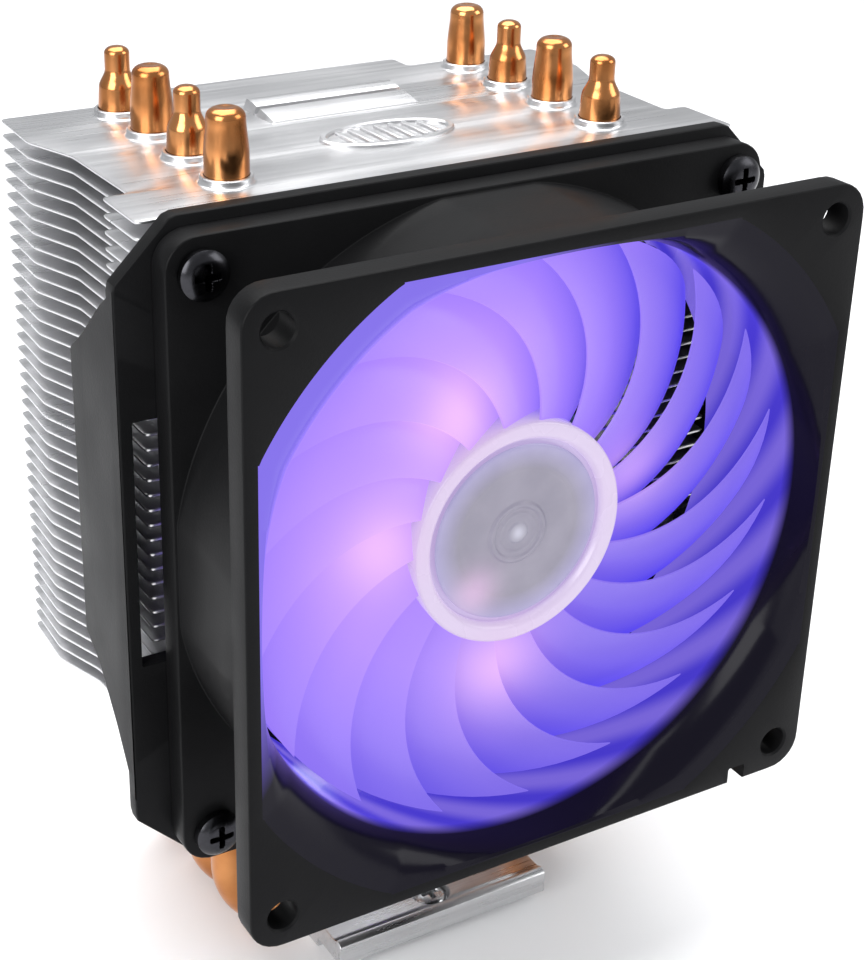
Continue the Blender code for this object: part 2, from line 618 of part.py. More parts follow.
def rotor_inside(steel, magnet):
    """The turning pieces inside the hub: steel cup, ring magnet, and a shaft with a groove for its clip."""
    cup_r, wall = HUB_R - HUB_WALL - GAP, 0.6
    cup_front = HUB_Y[0] + HUB_RECESS + 1.4 + GAP
    cup = [(SHAFT_R + GAP, cup_front), (cup_r, cup_front), (cup_r, 20.0), (cup_r - wall, 20.0),
           (cup_r - wall, cup_front + wall), (SHAFT_R + GAP, cup_front + wall)]
    turned("rotor_cup", cup, steel, sides=32, centre=ROTOR_ORIGIN, origin=ROTOR_ORIGIN)
    outer, magnet_t = cup_r - wall - GAP, 1.3
    ring = [(outer - magnet_t, 14.6), (outer, 14.6), (outer, 19.9), (outer - magnet_t, 19.9)]
    turned("ring_magnet", ring, magnet, sides=32, centre=ROTOR_ORIGIN, origin=ROTOR_ORIGIN)
    clip_in, clip_out, clip_front, clip_rear = CLIP
    groove_r, groove_front, groove_rear = clip_in - 0.15, clip_front - 0.15, clip_rear + 0.15
    shaft = [(0.0, cup_front), (SHAFT_R, cup_front), (SHAFT_R, groove_front), (groove_r, groove_front),
             (groove_r, groove_rear), (SHAFT_R, groove_rear), (SHAFT_R, SHAFT_END - 0.1), (0.0, SHAFT_END)]
    turned("rotor_shaft", shaft, steel, sides=20, centre=ROTOR_ORIGIN, origin=ROTOR_ORIGIN)
    ring = [(clip_in, clip_front), (clip_out, clip_front), (clip_out, clip_rear), (clip_in, clip_rear)]
    clip = turned("shaft_clip", ring, steel, sides=20, centre=ROTOR_ORIGIN, origin=ROTOR_ORIGIN)
    slit = box("slit", (-0.4, at_fan(clip_front - 1.0), FAN_Z),
               (0.4, at_fan(clip_rear + 1.0), FAN_Z + 4.0), steel)
    combine(clip, slit, "DIFFERENCE")


# ------------------------------------------------------------------ motor, fixed side
def stator(iron, plastic, copper):
    """Four-pole iron core between two insulators, with a coil on each pole."""
    bore = BEARING_TUBE[1] + GAP
    neck, tip_in, tip_out, neck_half, shoe_angle = 5.6, 10.3, 11.6, 1.1, 0.62

    def outline(shoe):
        points = []
        for k in range(COIL_COUNT):
            base = 2 * math.pi * k / COIL_COUNT
            pairs = [(neck, -math.asin(neck_half / neck)), (tip_in, -math.asin(neck_half / tip_in))]
            if shoe:
                pairs.append((tip_in, -shoe_angle))
                pairs += [(tip_out, shoe_angle * step / 2) for step in (-2, -1, 0, 1, 2)]
                pairs.append((tip_in, shoe_angle))
            pairs += [(r, -a) for r, a in pairs[1::-1]]
            points += [(r * math.cos(base + a), FAN_Z + r * math.sin(base + a)) for r, a in pairs]
        return points

    def plate(name, y0, y1, shoe, mat):
        piece = prism_y(name, outline(shoe), at_fan(y0), at_fan(y1), mat)
        hole = prism_y("bore", lifted(circle(bore, 24), FAN_Z), at_fan(y0 - 1.0), at_fan(y1 + 1.0), mat)
        combine(piece, hole, "DIFFERENCE")

    core_front, core_rear, sheet = 15.9, 19.1, 0.6
    plate("stator_core", core_front, core_rear, True, iron)
    plate("insulator_front", core_front - GAP - sheet, core_front - GAP, False, plastic)
    plate("insulator_rear", core_rear + GAP, core_rear + GAP + sheet, False, plastic)
    window_front, window_rear = core_front - 2 * GAP - sheet, core_rear + 2 * GAP + sheet
    wire, coil_half, coil_wire = 0.6, 2.5, neck_half + GAP
    for k in range(COIL_COUNT):
        base = 2 * math.pi * k / COIL_COUNT
        along, side = (math.cos(base), math.sin(base)), (-math.sin(base), math.cos(base))

        def block(name, r0, r1, half, y0, y1):
            corners = [(along[0] * r + side[0] * w, FAN_Z + along[1] * r + side[1] * w)
                       for r, w in ((r0, -half), (r1, -half), (r1, half), (r0, half))]
            return prism_y(name, corners, at_fan(y0), at_fan(y1), copper)

        coil = block("coil_%d" % (k + 1), neck + 1.1, tip_in - wire, coil_half,
                     window_front - wire, window_rear + wire)
        window = block("window", neck - 1.0, tip_in + 3.0, coil_wire, window_front, window_rear)
        combine(coil, window, "DIFFERENCE")


def bearing(brass, bronze, plastic):
    """Sleeve bearing in a brass tube, and a thrust pad behind the shaft."""
    tube_in, tube_out = BEARING_TUBE
    tube_front, tube_rear = 13.9, 24.0
    turned("bearing_tube", [(tube_in, tube_front), (tube_out, tube_front), (tube_out, tube_rear),
                            (tube_in, tube_rear)], brass, sides=20, centre=ROTOR_ORIGIN)
    bore, outer = SLEEVE_BEARING
    front, rear = 14.2, 22.2
    turned("bearing_sleeve", [(bore, front), (outer, front), (outer, rear), (bore, rear)], bronze,
           sides=24, centre=ROTOR_ORIGIN)
    pad_front, pad_rear = SHAFT_END + GAP, FAN_D - MOTOR_SKIN - GAP
    turned("thrust_pad", [(0.0, pad_front), (2.6, pad_front), (2.6, pad_rear), (0.0, pad_rear)], plastic,
           sides=16, centre=ROTOR_ORIGIN)


def circuit(board_mat, chip_mat, lamp_mat):
    """Round circuit board behind the hub, with its driver chip and four lamps that shine forward."""
    front, thick, hole_r, board_r = 21.6, 0.8, 5.6, MOTOR_R - 1.2
    board = [(hole_r, front), (board_r, front), (board_r, front + thick), (hole_r, front + thick)]
    turned("circuit_board", board, board_mat, sides=32, centre=ROTOR_ORIGIN)
    chip_r, angle = 13.6, math.radians(55.0)
    x, z = chip_r * math.cos(angle), FAN_Z + chip_r * math.sin(angle)
    box("driver_chip", (x - 1.5, at_fan(20.5), z - 1.4), (x + 1.5, at_fan(front - GAP), z + 1.4), chip_mat)
    for k in range(LAMP_COUNT):
        angle = math.radians(100.0) + 2 * math.pi * k / LAMP_COUNT
        x, z = LAMP_RING_R * math.cos(angle), FAN_Z + LAMP_RING_R * math.sin(angle)
        box("lamp_%d" % (k + 1), (x - 1.4, at_fan(20.6), z - 1.0), (x + 1.4, at_fan(front - GAP), z + 1.0),
            lamp_mat)


def main():
    for old in list(bpy.data.objects):
        bpy.data.objects.remove(old)

    aluminium = material("aluminium_fin", (0.62, 0.63, 0.64), 0.32, 1.0)
    machined = material("aluminium_base", (0.60, 0.60, 0.61), 0.38, 1.0)
    copper = material("copper_pipe", (0.78, 0.36, 0.18), 0.16, 1.0)
    black = material("black_plastic", (0.018, 0.018, 0.019), 0.42)
    bracket_black = material("bracket_plastic", (0.022, 0.022, 0.023), 0.48)
    frosted = material("frosted_plastic", (0.48, 0.42, 0.95), 0.35, 0.0, 0.35, ((0.30, 0.22, 1.0), 0.6))
    disc = material("disc_plastic", (0.62, 0.58, 0.70), 0.45)
    steel = material("steel", (0.56, 0.57, 0.58), 0.28, 1.0)
    dark_steel = material("black_steel", (0.05, 0.05, 0.055), 0.35, 1.0)
    magnet = material("magnet", (0.06, 0.055, 0.05), 0.7)
    iron = material("core_iron", (0.35, 0.35, 0.36), 0.45, 1.0)
    nylon = material("white_nylon", (0.80, 0.79, 0.74), 0.55)
    winding = material("winding_copper", (0.72, 0.28, 0.10), 0.35, 1.0)
    brass = material("brass", (0.78, 0.58, 0.26), 0.3, 1.0)
    bronze = material("bronze", (0.50, 0.33, 0.18), 0.6, 1.0)
    board = material("circuit_board", (0.03, 0.16, 0.07), 0.5)
    chip = material("chip", (0.02, 0.02, 0.02), 0.5)
    lamp = material("lamp", (0.95, 0.75, 0.95), 0.3, 0.0, 0.0, ((1.0, 0.45, 0.95), 6.0))

    base_block(machined)
    for side, name in ((-1, "base_screw_front"), (1, "base_screw_rear")):
        base_screw(name, side * BASE_SCREW_Y, steel)
    for index in range(PIPE_COUNT):
        heat_pipe(index, copper)
    fin_stack(aluminium)
    top_fin(aluminium)
    fan_frame(black)
    fan_bracket(bracket_black)
    for index in range(4):
        fan_screw(index, dark_steel)
    impeller(frosted)
    hub_disc(disc)
    rotor_inside(steel, magnet)
    stator(iron, nylon, winding)
    bearing(brass, bronze, nylon)
    circuit(board, chip, lamp)


if __name__ == "__main__":
    main()
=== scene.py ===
"""Tower cooler for a processor: the looks of its pipes, fins, base, bracket and lit fan.

Sizes in this file are in millimetres, in the cooler's own frame, and become metres when a mesh is made.
X runs to the right seen from the fan's side, -Y is the side the fan is on, and Z = 0 is under the base.
"""

import json
import math

import bmesh
import bpy
import numpy as np
from bpy.props import FloatProperty, FloatVectorProperty, IntProperty, PointerProperty
from mathutils import Matrix, Vector
from mathutils.geometry import tessellate_polygon


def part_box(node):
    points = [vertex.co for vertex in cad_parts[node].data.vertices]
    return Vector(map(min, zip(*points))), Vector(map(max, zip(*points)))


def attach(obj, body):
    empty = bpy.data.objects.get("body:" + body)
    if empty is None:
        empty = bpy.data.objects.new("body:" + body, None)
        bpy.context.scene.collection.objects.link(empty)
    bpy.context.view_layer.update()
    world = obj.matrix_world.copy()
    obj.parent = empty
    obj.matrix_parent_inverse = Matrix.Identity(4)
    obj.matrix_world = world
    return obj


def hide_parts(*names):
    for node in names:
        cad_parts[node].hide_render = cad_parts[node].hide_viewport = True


bl_info = {
    "name": "Tower cooler",
    "version": (1, 0, 0),
    "blender": (4, 5, 0),
    "location": "View3D > Sidebar > Cooler",
    "description": "Builds a processor's tower cooler with a lit fan, and the studio round it",
    "category": "Add Mesh",
}

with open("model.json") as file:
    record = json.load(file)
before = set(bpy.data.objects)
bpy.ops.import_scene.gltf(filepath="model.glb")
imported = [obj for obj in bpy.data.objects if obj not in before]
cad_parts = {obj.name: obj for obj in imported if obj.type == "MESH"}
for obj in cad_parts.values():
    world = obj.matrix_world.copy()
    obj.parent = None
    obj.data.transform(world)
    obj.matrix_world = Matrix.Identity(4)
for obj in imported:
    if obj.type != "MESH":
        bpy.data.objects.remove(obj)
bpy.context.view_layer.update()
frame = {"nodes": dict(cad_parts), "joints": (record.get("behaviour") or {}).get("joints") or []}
MM = 0.001


def box_mm(node):
    """Lowest and highest corner of a node of the frame, in millimetres."""
    low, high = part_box(node)
    return np.array(low) / MM, np.array(high) / MM


# ---- places taken from the frame ----
SPIN = next(joint for joint in frame["joints"] if joint["name"] == "rotor_spin")
AXIS_X, AXIS_Z = SPIN["pos_m"][0] / MM, SPIN["pos_m"][2] / MM
FAN_LOW, FAN_HIGH = box_mm("fan_frame")
FAN_Y, FAN_D, FAN_HALF = FAN_LOW[1], FAN_HIGH[1] - FAN_LOW[1], (FAN_HIGH[0] - FAN_LOW[0]) / 2
BRACKET_LOW, BRACKET_HIGH = box_mm("fan_bracket")
STACK_LOW, STACK_HIGH = box_mm("fin_stack")
TOP_LOW = box_mm("top_fin")[0]
BASE_HIGH = box_mm("base_block")[1]
PIPE_TOP = box_mm("heat_pipe_1")[1][2]
PIPE_OUT = box_mm("heat_pipe_1")[1][0]
BLADE_R = (box_mm("impeller")[1][0] - box_mm("impeller")[0][0]) / 2

# ---- fan ----
CORNER_R = 4.5
FLANGE_T = 4.2
DUCT = (46.0, 45.4)            # radius, and where its four sides are flat
BORE_R = 43.6
MOUTH = (50.4, 43.8, 6.5)      # radius, flat sides and depth
HOLE_AT, HOLE_R = 41.25, 2.2
MOTOR_R = 20.4
HUB_R, HUB_FRONT, HUB_REAR = 16.4, 9.8, 20.2
HUB_RECESS_R, HUB_RECESS = 13.6, 1.2
BLADE_SWEEP = 34.0             # degrees
BLADE_CHORD = (46.0, 11.0)     # degrees at the hub, and how much less at the tip
BLADE_EDGES = (10.6, 2.0, 19.6)        # front edge at the hub, how much nearer at the tip, rear edge
BAND_SLANT = 714.0             # turn of the bands of light in the duct, in radians of their wave per metre

# ---- pipes ----
PIPE_COUNT = 4
PIPE_PITCH, PIPE_PITCH_BASE = 12.0, 9.6
PIPE_BEND_R = 12.0
PIPE_FLAT = (3.3, 2.3)

# ---- fins ----
FIN_T, FIN_PITCH, FIN_COUNT = 0.4, 2.2, 38
FIN_TAB_Y, FIN_WAIST_X = -16.4, 42.8
COLLAR_R, COLLAR_RISE = 3.6, 1.1
BRACKET_WALL = 1.8
BASE_LEDGE = (23.4, 1.7, 5.4)          # where it starts, its underside and its top
SCREW_Y = 26.0


class CoolerSizes(bpy.types.PropertyGroup):
    pipe_radius: FloatProperty(name="Pipe radius", description="Outer radius of the heat pipes",
                               default=3.0 * MM, subtype="DISTANCE", unit="LENGTH")
    edge_round: FloatProperty(name="Moulded edge", description="Rounding of frame and bracket",
                              default=0.35 * MM, subtype="DISTANCE", unit="LENGTH")
    blade_count: IntProperty(name="Blades", description="Blades of the rotor", default=18, min=3, max=40)
    round_steps: IntProperty(name="Roundness", description="Points round the largest circles",
                             default=384, min=64, max=768)


def colour_setting(name, description, default):
    return FloatVectorProperty(name=name, description=description, default=default, subtype="COLOR", size=3)


class CoolerColours(bpy.types.PropertyGroup):
    aluminium: colour_setting("Aluminium", "Colour of the fins and the base", (0.66, 0.66, 0.67))
    copper: colour_setting("Copper", "Colour of the clean pipes", (0.62, 0.27, 0.10))
    tarnish: colour_setting("Tarnish", "Colour of the darker patches on the pipes", (0.38, 0.13, 0.035))
    plastic: colour_setting("Black plastic", "Colour of frame and bracket", (0.0045, 0.0045, 0.0048))
    glow_deep: colour_setting("Deep glow", "Light of the blades at their rear edges", (0.07, 0.045, 0.68))
    glow_main: colour_setting("Main glow", "Light of the blades' faces", (0.26, 0.18, 0.96))
    glow_soft: colour_setting("Soft glow", "Light of the blades near the hub", (0.44, 0.25, 0.96))
    glow_spot: colour_setting("Lamp glow", "Light of the blades in front of a lamp", (0.93, 0.52, 0.93))


class StudioSettings(bpy.types.PropertyGroup):
    camera_azimuth: FloatProperty(name="Azimuth", description="Direction of the camera round the cooler",
                                  default=math.radians(-29.4), subtype="ANGLE", unit="ROTATION")
    camera_elevation: FloatProperty(name="Elevation", description="How far the camera looks down",
                                    default=math.radians(24.5), subtype="ANGLE", unit="ROTATION")
    camera_roll: FloatProperty(name="Roll", description="Turn of the camera about its own axis",
                               default=math.radians(0.6), subtype="ANGLE", unit="ROTATION")
    camera_place: FloatVectorProperty(name="Place", description="Where the camera stands",
                                      default=(-0.129, -0.2286, 0.2008), subtype="TRANSLATION",
                                      unit="LENGTH", size=3)
    lens: FloatProperty(name="Lens", description="Focal length in millimetres", default=70.1)
    shift: FloatVectorProperty(name="Shift", description="Shift of the lens",
                               default=(0.0812, -0.0823), size=2)
    floor_colour: colour_setting("Floor", "Colour of the floor", (0.86, 0.86, 0.87))


def sizes():
    return bpy.context.scene.cooler_sizes


def colours():
    return bpy.context.scene.cooler_colours


# ------------------------------------------------------------------ surfaces
def net(rows, columns, wrap_rows, wrap_columns):
    """Faces of a grid: each one joins a point with its neighbours in the next row and the next column."""
    r = np.arange(rows if wrap_rows else rows - 1)[:, None]
    c = np.arange(columns if wrap_columns else columns - 1)[None, :]
    r2, c2 = (r + 1) % rows, (c + 1) % columns
    corners = np.broadcast_arrays(r * columns + c, r * columns + c2, r2 * columns + c2, r2 * columns + c)
    return np.stack(corners, -1).reshape(-1, 4)


def surface(points, wrap_rows=False, wrap_columns=False, caps=False):
    """(points, faces) of a grid of points; `caps` closes its first and last row."""
    rows, columns = points.shape[:2]
    faces = net(rows, columns, wrap_rows, wrap_columns).tolist()
    if caps:
        faces.append(list(range(columns)))
        faces.append(list(range((rows - 1) * columns, rows * columns)))
    return points.reshape(-1, 3), faces


def make_mesh(name, surfaces, smooth_angle=35.0):
    """A mesh from several surfaces: meeting points are joined and the faces turned out."""
    points, faces, start = [], [], 0
    for some_points, some_faces in surfaces:
        points.append(some_points)
        faces += [[start + i for i in face] for face in some_faces]
        start += len(some_points)
    mesh = bpy.data.meshes.new(name)
    mesh.from_pydata((np.concatenate(points) * MM).tolist(), [], faces)
    bm = bmesh.new()
    bm.from_mesh(mesh)
    bmesh.ops.remove_doubles(bm, verts=bm.verts, dist=2e-6)
    bmesh.ops.delete(bm, geom=[edge for edge in bm.edges if not edge.link_faces], context="EDGES")
    bmesh.ops.recalc_face_normals(bm, faces=bm.faces)
    bm.to_mesh(mesh)
    bm.free()
    mesh.shade_smooth()
    mesh.set_sharp_from_angle(angle=math.radians(smooth_angle))
    return mesh


def make_piece(name, surfaces, material, body, stands_for=(), smooth_angle=35.0):
    """An object that rides on a body of the frame and stands for some of its nodes."""
    piece = bpy.data.objects.new(name, make_mesh(name, surfaces, smooth_angle))
    bpy.context.scene.collection.objects.link(piece)
    piece.data.materials.append(material)
    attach(piece, body)
    if stands_for:
        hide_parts(*stands_for)
    return piece


def cut(piece, surfaces, operation="DIFFERENCE"):
    """Cut closed surfaces out of a piece, or join them on."""
    tool = bpy.data.objects.new("tool", make_mesh("tool", surfaces))
    bpy.context.scene.collection.objects.link(tool)
    modifier = piece.modifiers.new("Cut", "BOOLEAN")
    modifier.operation, modifier.solver, modifier.object = operation, "MANIFOLD", tool
    bpy.context.view_layer.update()
    depsgraph = bpy.context.evaluated_depsgraph_get()
    shape = bpy.data.meshes.new_from_object(piece.evaluated_get(depsgraph))
    shape.set_sharp_from_angle(angle=math.radians(28.0))
    shape.materials.clear()
    shape.materials.append(piece.data.materials[0])
    shape.polygons.foreach_set("material_index", np.zeros(len(shape.polygons), np.int32))
    piece.modifiers.clear()
    old, shape.name = piece.data, piece.data.name
    piece.data = shape
    bpy.data.meshes.remove(old)
    bpy.data.objects.remove(tool)


def rounded(corners, radius, steps=4):
    """A closed outline whose corners are bent: each is the curve (1-t)^2 a + 2t(1-t) corner + t^2 b,
    where a and b lie `radius` before and after the corner, or less on a short side."""
    p = np.asarray(corners, float)
    before, after = np.roll(p, 1, 0) - p, np.roll(p, -1, 0) - p
    long_before, long_after = (np.linalg.norm(v, axis=1, keepdims=True) for v in (before, after))
    reach = np.minimum(radius, 0.45 * np.minimum(long_before, long_after))
    a, b = p + before / long_before * reach, p + after / long_after * reach
    t = np.linspace(0.0, 1.0, steps + 1)[None, :, None]
    bend = (1 - t) ** 2 * a[:, None] + 2 * t * (1 - t) * p[:, None] + t ** 2 * b[:, None]
    return bend.reshape(-1, 2)


def stacked(*values):
    """Coordinates side by side, as an array of points."""
    return np.stack(np.broadcast_arrays(*values), -1)


def circle(radius, sides, centre=(0.0, 0.0)):
    """Points round a circle."""
    a = 2 * np.pi * np.arange(sides) / sides
    return stacked(centre[0] + radius * np.cos(a), centre[1] + radius * np.sin(a))


def turned(profile, sides, centre, along="y", closed=True):
    """A profile turned about a line through `centre`: (r, h) becomes (r cos a, h, r sin a), or
    (r cos a, r sin a, h) with h along Z; `closed` joins its end to its start."""
    r, h = np.asarray(profile, float).T
    a = (2 * np.pi * np.arange(sides) / sides)[:, None]
    across, side = r * np.cos(a), r * np.sin(a)
    points = stacked(across, h, side) if along == "y" else stacked(across, side, h)
    return surface(points + np.asarray(centre, float), wrap_rows=True, wrap_columns=closed)


def inwards(outline):
    """Unit vectors that point from the corners of an outline to its inside."""
    along = np.roll(outline, -1, 0) - np.roll(outline, 1, 0)
    inward = stacked(-along[:, 1], along[:, 0]) / np.linalg.norm(along, axis=1, keepdims=True)
    x, y = outline.T
    return inward * np.sign(np.sum(x * np.roll(y, -1) - np.roll(x, -1) * y))


def extruded(outline, low, high, edge, axes, steps=3):
    """A solid of constant outline whose two rims are rounded: near an end the outline is drawn in by
    edge (1 - sin a) at the height edge (1 - cos a).  `axes` says which way the outline's two
    coordinates and the height run, for instance "yzx"."""
    p = np.asarray(outline, float)
    a = np.linspace(0.0, np.pi / 2, steps + 1)
    draw, rise = edge * (1 - np.sin(a)), edge * (1 - np.cos(a))
    draw, height = np.concatenate([draw, draw[::-1]]), np.concatenate([low + rise, high - rise[::-1]])
    flat = p[None] + inwards(p)[None] * draw[:, None, None]
    points = stacked(flat[..., 0], flat[..., 1], height[:, None])
    order = [axes.index(axis) for axis in "xyz"]
    return surface(points[..., order], wrap_columns=True, caps=True)


def block(low, high, edge, steps=3):
    """A box with rounded edges."""
    corners = [(low[0], low[1]), (high[0], low[1]), (high[0], high[1]), (low[0], high[1])]
    outline = rounded(corners, 2 * edge, steps)
    return extruded(outline, low[2], high[2], edge, "xyz", steps)


def ease(t):
    """Smooth step from 0 to 1."""
    t = np.clip(t, 0.0, 1.0)
    return t * t * (3 - 2 * t)


# ------------------------------------------------------------------ node groups
def plug(tree, value, socket):
    """Give a socket a value, or join another socket to it."""
    if isinstance(value, bpy.types.NodeSocket):
        tree.links.new(value, socket)
    else:
        socket.default_value = value


def new_node(tree, kind, *values, **settings):
    """A shader node with its settings, whose first inputs are filled in order."""
    node = tree.nodes.new("ShaderNode" + kind)
    for setting, value in settings.items():
        setattr(node, setting, value)
    for socket, value in zip(node.inputs, values):
        plug(tree, value, socket)
    return node


def math_node(tree, operation, *values, clamp=False):
    return new_node(tree, "Math", *values, operation=operation, use_clamp=clamp).outputs[0]


def vector_node(tree, operation, *values):
    return new_node(tree, "VectorMath", *values, operation=operation).outputs


def noise_node(tree, vector, scale, detail=2.0):
    """A Noise texture read at `vector`."""
    node = new_node(tree, "TexNoise")
    for label, value in (("Vector", vector), ("Scale", scale), ("Detail", detail)):
        plug(tree, value, node.inputs[label])
    return node.outputs["Fac"]


def new_group(name, inputs, outputs):
    """An empty shader group: a triple makes a vector input, and the other sockets are numbers."""
    tree = bpy.data.node_groups.new(name, "ShaderNodeTree")
    for label, value in inputs.items():
        kind = "NodeSocketVector" if isinstance(value, tuple) else "NodeSocketFloat"
        tree.interface.new_socket(label, in_out="INPUT", socket_type=kind).default_value = value
    for label in outputs:
        tree.interface.new_socket(label, in_out="OUTPUT", socket_type="NodeSocketFloat")
    return tree, tree.nodes.new("NodeGroupInput").outputs, tree.nodes.new("NodeGroupOutput").inputs


def grain_group():
    """Fine moulded grain: two noises, one three times finer; also slow blotches for the gloss."""
    tree, inlet, outlet = new_group(
        "fine grain", {"Vector": (0, 0, 0), "Grain Scale": 2500.0, "Blotch Scale": 60.0},
        ("Height", "Blotches"))
    coarse = noise_node(tree, inlet["Vector"], inlet["Grain Scale"])
    finer = math_node(tree, "MULTIPLY", inlet["Grain Scale"], 3.0)
    fine = noise_node(tree, inlet["Vector"], finer, 1.0)
    plug(tree, math_node(tree, "MULTIPLY_ADD", fine, 0.4, coarse), outlet["Height"])
    plug(tree, noise_node(tree, inlet["Vector"], inlet["Blotch Scale"], 3.0), outlet["Blotches"])
    return tree


def lines_group():
    """Lines left by rolling, drawing or milling: a noise read through a vector squeezed along the lines."""
    tree, inlet, outlet = new_group(
        "tool lines",
        {"Vector": (0, 0, 0), "Squeeze": (1, 30, 30), "Line Scale": 60.0, "Smudge Scale": 45.0},
        ("Lines", "Smudges"))
    squeezed = vector_node(tree, "MULTIPLY", inlet["Vector"], inlet["Squeeze"])["Vector"]
    plug(tree, noise_node(tree, squeezed, inlet["Line Scale"], 4.0), outlet["Lines"])
    plug(tree, noise_node(tree, inlet["Vector"], inlet["Smudge Scale"], 3.0), outlet["Smudges"])
    return tree


def glow_group():
    """Light round a point: exp(-(distance / width)^2)."""
    tree, inlet, outlet = new_group(
        "glow round a point", {"Vector": (0, 0, 0), "Centre": (0, 0, 0), "Width": 0.005}, ("Mask",))
    distance = vector_node(tree, "DISTANCE", inlet["Vector"], inlet["Centre"])["Value"]
    share = math_node(tree, "DIVIDE", distance, inlet["Width"])
    fall = math_node(tree, "MULTIPLY", math_node(tree, "MULTIPLY", share, share), -1.0)
    plug(tree, math_node(tree, "EXPONENT", fall), outlet["Mask"])
    return tree


def group(name):
    """The node group of that name, built the first time it is asked for."""
    makers = {"fine grain": grain_group, "tool lines": lines_group, "glow round a point": glow_group}
    return bpy.data.node_groups.get(name) or makers[name]()


# ------------------------------------------------------------------ materials
class Paint:
    """A Principled material being put together from nodes on Object coordinates."""

    def __init__(self, name, **values):
        self.material = bpy.data.materials.new(name)
        self.material.use_nodes = True
        self.tree = self.material.node_tree
        self.shader = self.tree.nodes["Principled BSDF"]
        for label, value in values.items():
            self.shader.inputs[label.replace("_", " ")].default_value = value
        self.place = new_node(self.tree, "TexCoord").outputs["Object"]

    def use(self, name, vector=None, **values):
        """The outputs of a node group placed in this material with its own values."""
        node = new_node(self.tree, "Group", node_tree=group(name))
        self.tree.links.new(vector or self.place, node.inputs["Vector"])
        for label, value in values.items():
            node.inputs[label.replace("_", " ")].default_value = value
        return node.outputs

    def math(self, operation, *values, clamp=False):
        return math_node(self.tree, operation, *values, clamp=clamp)

    def spread(self, mask, low, high, from_low=0.3, from_high=0.7):
        """The mask's middle range stretched over low to high."""
        return new_node(self.tree, "MapRange", mask, from_low, from_high, low, high).outputs["Result"]

    def mix(self, mask, first, second):
        """Between two colours, each a colour or a socket."""
        node = new_node(self.tree, "Mix", mask, data_type="RGBA")
        for place, colour in ((6, first), (7, second)):
            joined = isinstance(colour, bpy.types.NodeSocket)
            plug(self.tree, colour if joined else (*colour[:3], 1.0), node.inputs[place])
        return node.outputs[2]

    def feed(self, socket, value):
        self.tree.links.new(value, self.shader.inputs[socket])

    def bump(self, height, distance):
        """Relief of that many millimetres."""
        node = new_node(self.tree, "Bump")
        plug(self.tree, distance * MM, node.inputs["Distance"])
        plug(self.tree, height, node.inputs["Height"])
        self.feed("Normal", node.outputs["Normal"])

    def grain(self, grain_scale, blotch_scale, gloss, relief):
        """A moulded surface: roughness blotched between two values, and a grain.  Gives the blotches."""
        marks = self.use("fine grain", Grain_Scale=grain_scale, Blotch_Scale=blotch_scale)
        self.feed("Roughness", self.spread(marks["Blotches"], *gloss))
        self.bump(marks["Height"], relief)
        return marks["Blotches"]


def tint(colour, factor):
    """A colour made darker or lighter."""
    return tuple(min(1.0, channel * factor) for channel in colour)


def metal(name, first, second, squeeze, scales, line_gloss, gloss, relief, patched=False):
    """Bare metal with tool lines and smudges: the lines, or the smudges if it is patched, lead from the
    first colour to the second, and both add to the roughness."""
    paint = Paint(name, Metallic=1.0)
    marks = paint.use("tool lines", Squeeze=squeeze, Line_Scale=scales[0], Smudge_Scale=scales[1])
    if patched:
        mask = paint.spread(marks["Smudges"], 0.0, 1.0, 0.36, 0.68)
    else:
        mask = paint.spread(marks["Lines"], 0.0, 1.0)
    paint.feed("Base Color", paint.mix(mask, first, second))
    rough = paint.spread(marks["Smudges"], *gloss)
    if line_gloss:
        rough = paint.math("ADD", paint.spread(marks["Lines"], 0.0, line_gloss), rough)
    paint.feed("Roughness", rough)
    paint.bump(marks["Lines"], relief)
    return paint.material


def sheet_aluminium():
    """Rolled sheet: fine lines along X, slow smudges in the gloss."""
    bright = colours().aluminium
    return metal("sheet_aluminium", tint(bright, 0.93), bright, (0.6, 28.0, 28.0), (55.0, 38.0),
                 0.08, (0.24, 0.34), 0.0015)


def milled_aluminium():
    """Milled block: lines across Y, brighter where the cutter passed last."""
    bright = colours().aluminium
    return metal("milled_aluminium", tint(bright, 0.86), bright, (0.5, 22.0, 14.0), (80.0, 60.0),
                 0.12, (0.20, 0.30), 0.01)


def polished_copper():
    """Drawn copper: mirror bright, with warm tarnish in patches and faint lines along the pipe."""
    return metal("polished_copper", colours().copper, colours().tarnish, (26.0, 26.0, 1.0), (50.0, 120.0),
                 0.08, (0.12, 0.24), 0.004, patched=True)


def plain_metal(name, colour, rough):
    """Turned or rolled metal of a small inner piece."""
    return metal(name, tint(colour, 0.82), colour, (9.0, 1.0, 9.0), (160.0, 150.0), 0.0,
                 (rough - 0.06, rough + 0.08), 0.006)


def moulded_plastic(name, factor, rough):
    """Black moulded plastic with a fine grain."""
    paint = Paint(name, Specular_IOR_Level=0.07)
    base = tint(colours().plastic, factor)
    blotches = paint.grain(2600.0, 70.0, (rough - 0.05, rough + 0.05), 0.02)
    paint.feed("Base Color", paint.mix(paint.spread(blotches, 0.0, 1.0), base, tint(base, 1.35)))
    return paint.material


def plain_plastic(name, colour, rough, glow=0.0):
    """Plastic, ferrite or laminate of a small inner piece; `glow` lights it."""
    paint = Paint(name, Emission_Color=(*colour, 1.0), Emission_Strength=glow)
    blotches = paint.grain(2000.0, 140.0, (rough - 0.05, rough + 0.05), 0.01)
    paint.feed("Base Color", paint.mix(paint.spread(blotches, 0.0, 1.0), tint(colour, 0.85), colour))
    return paint.material


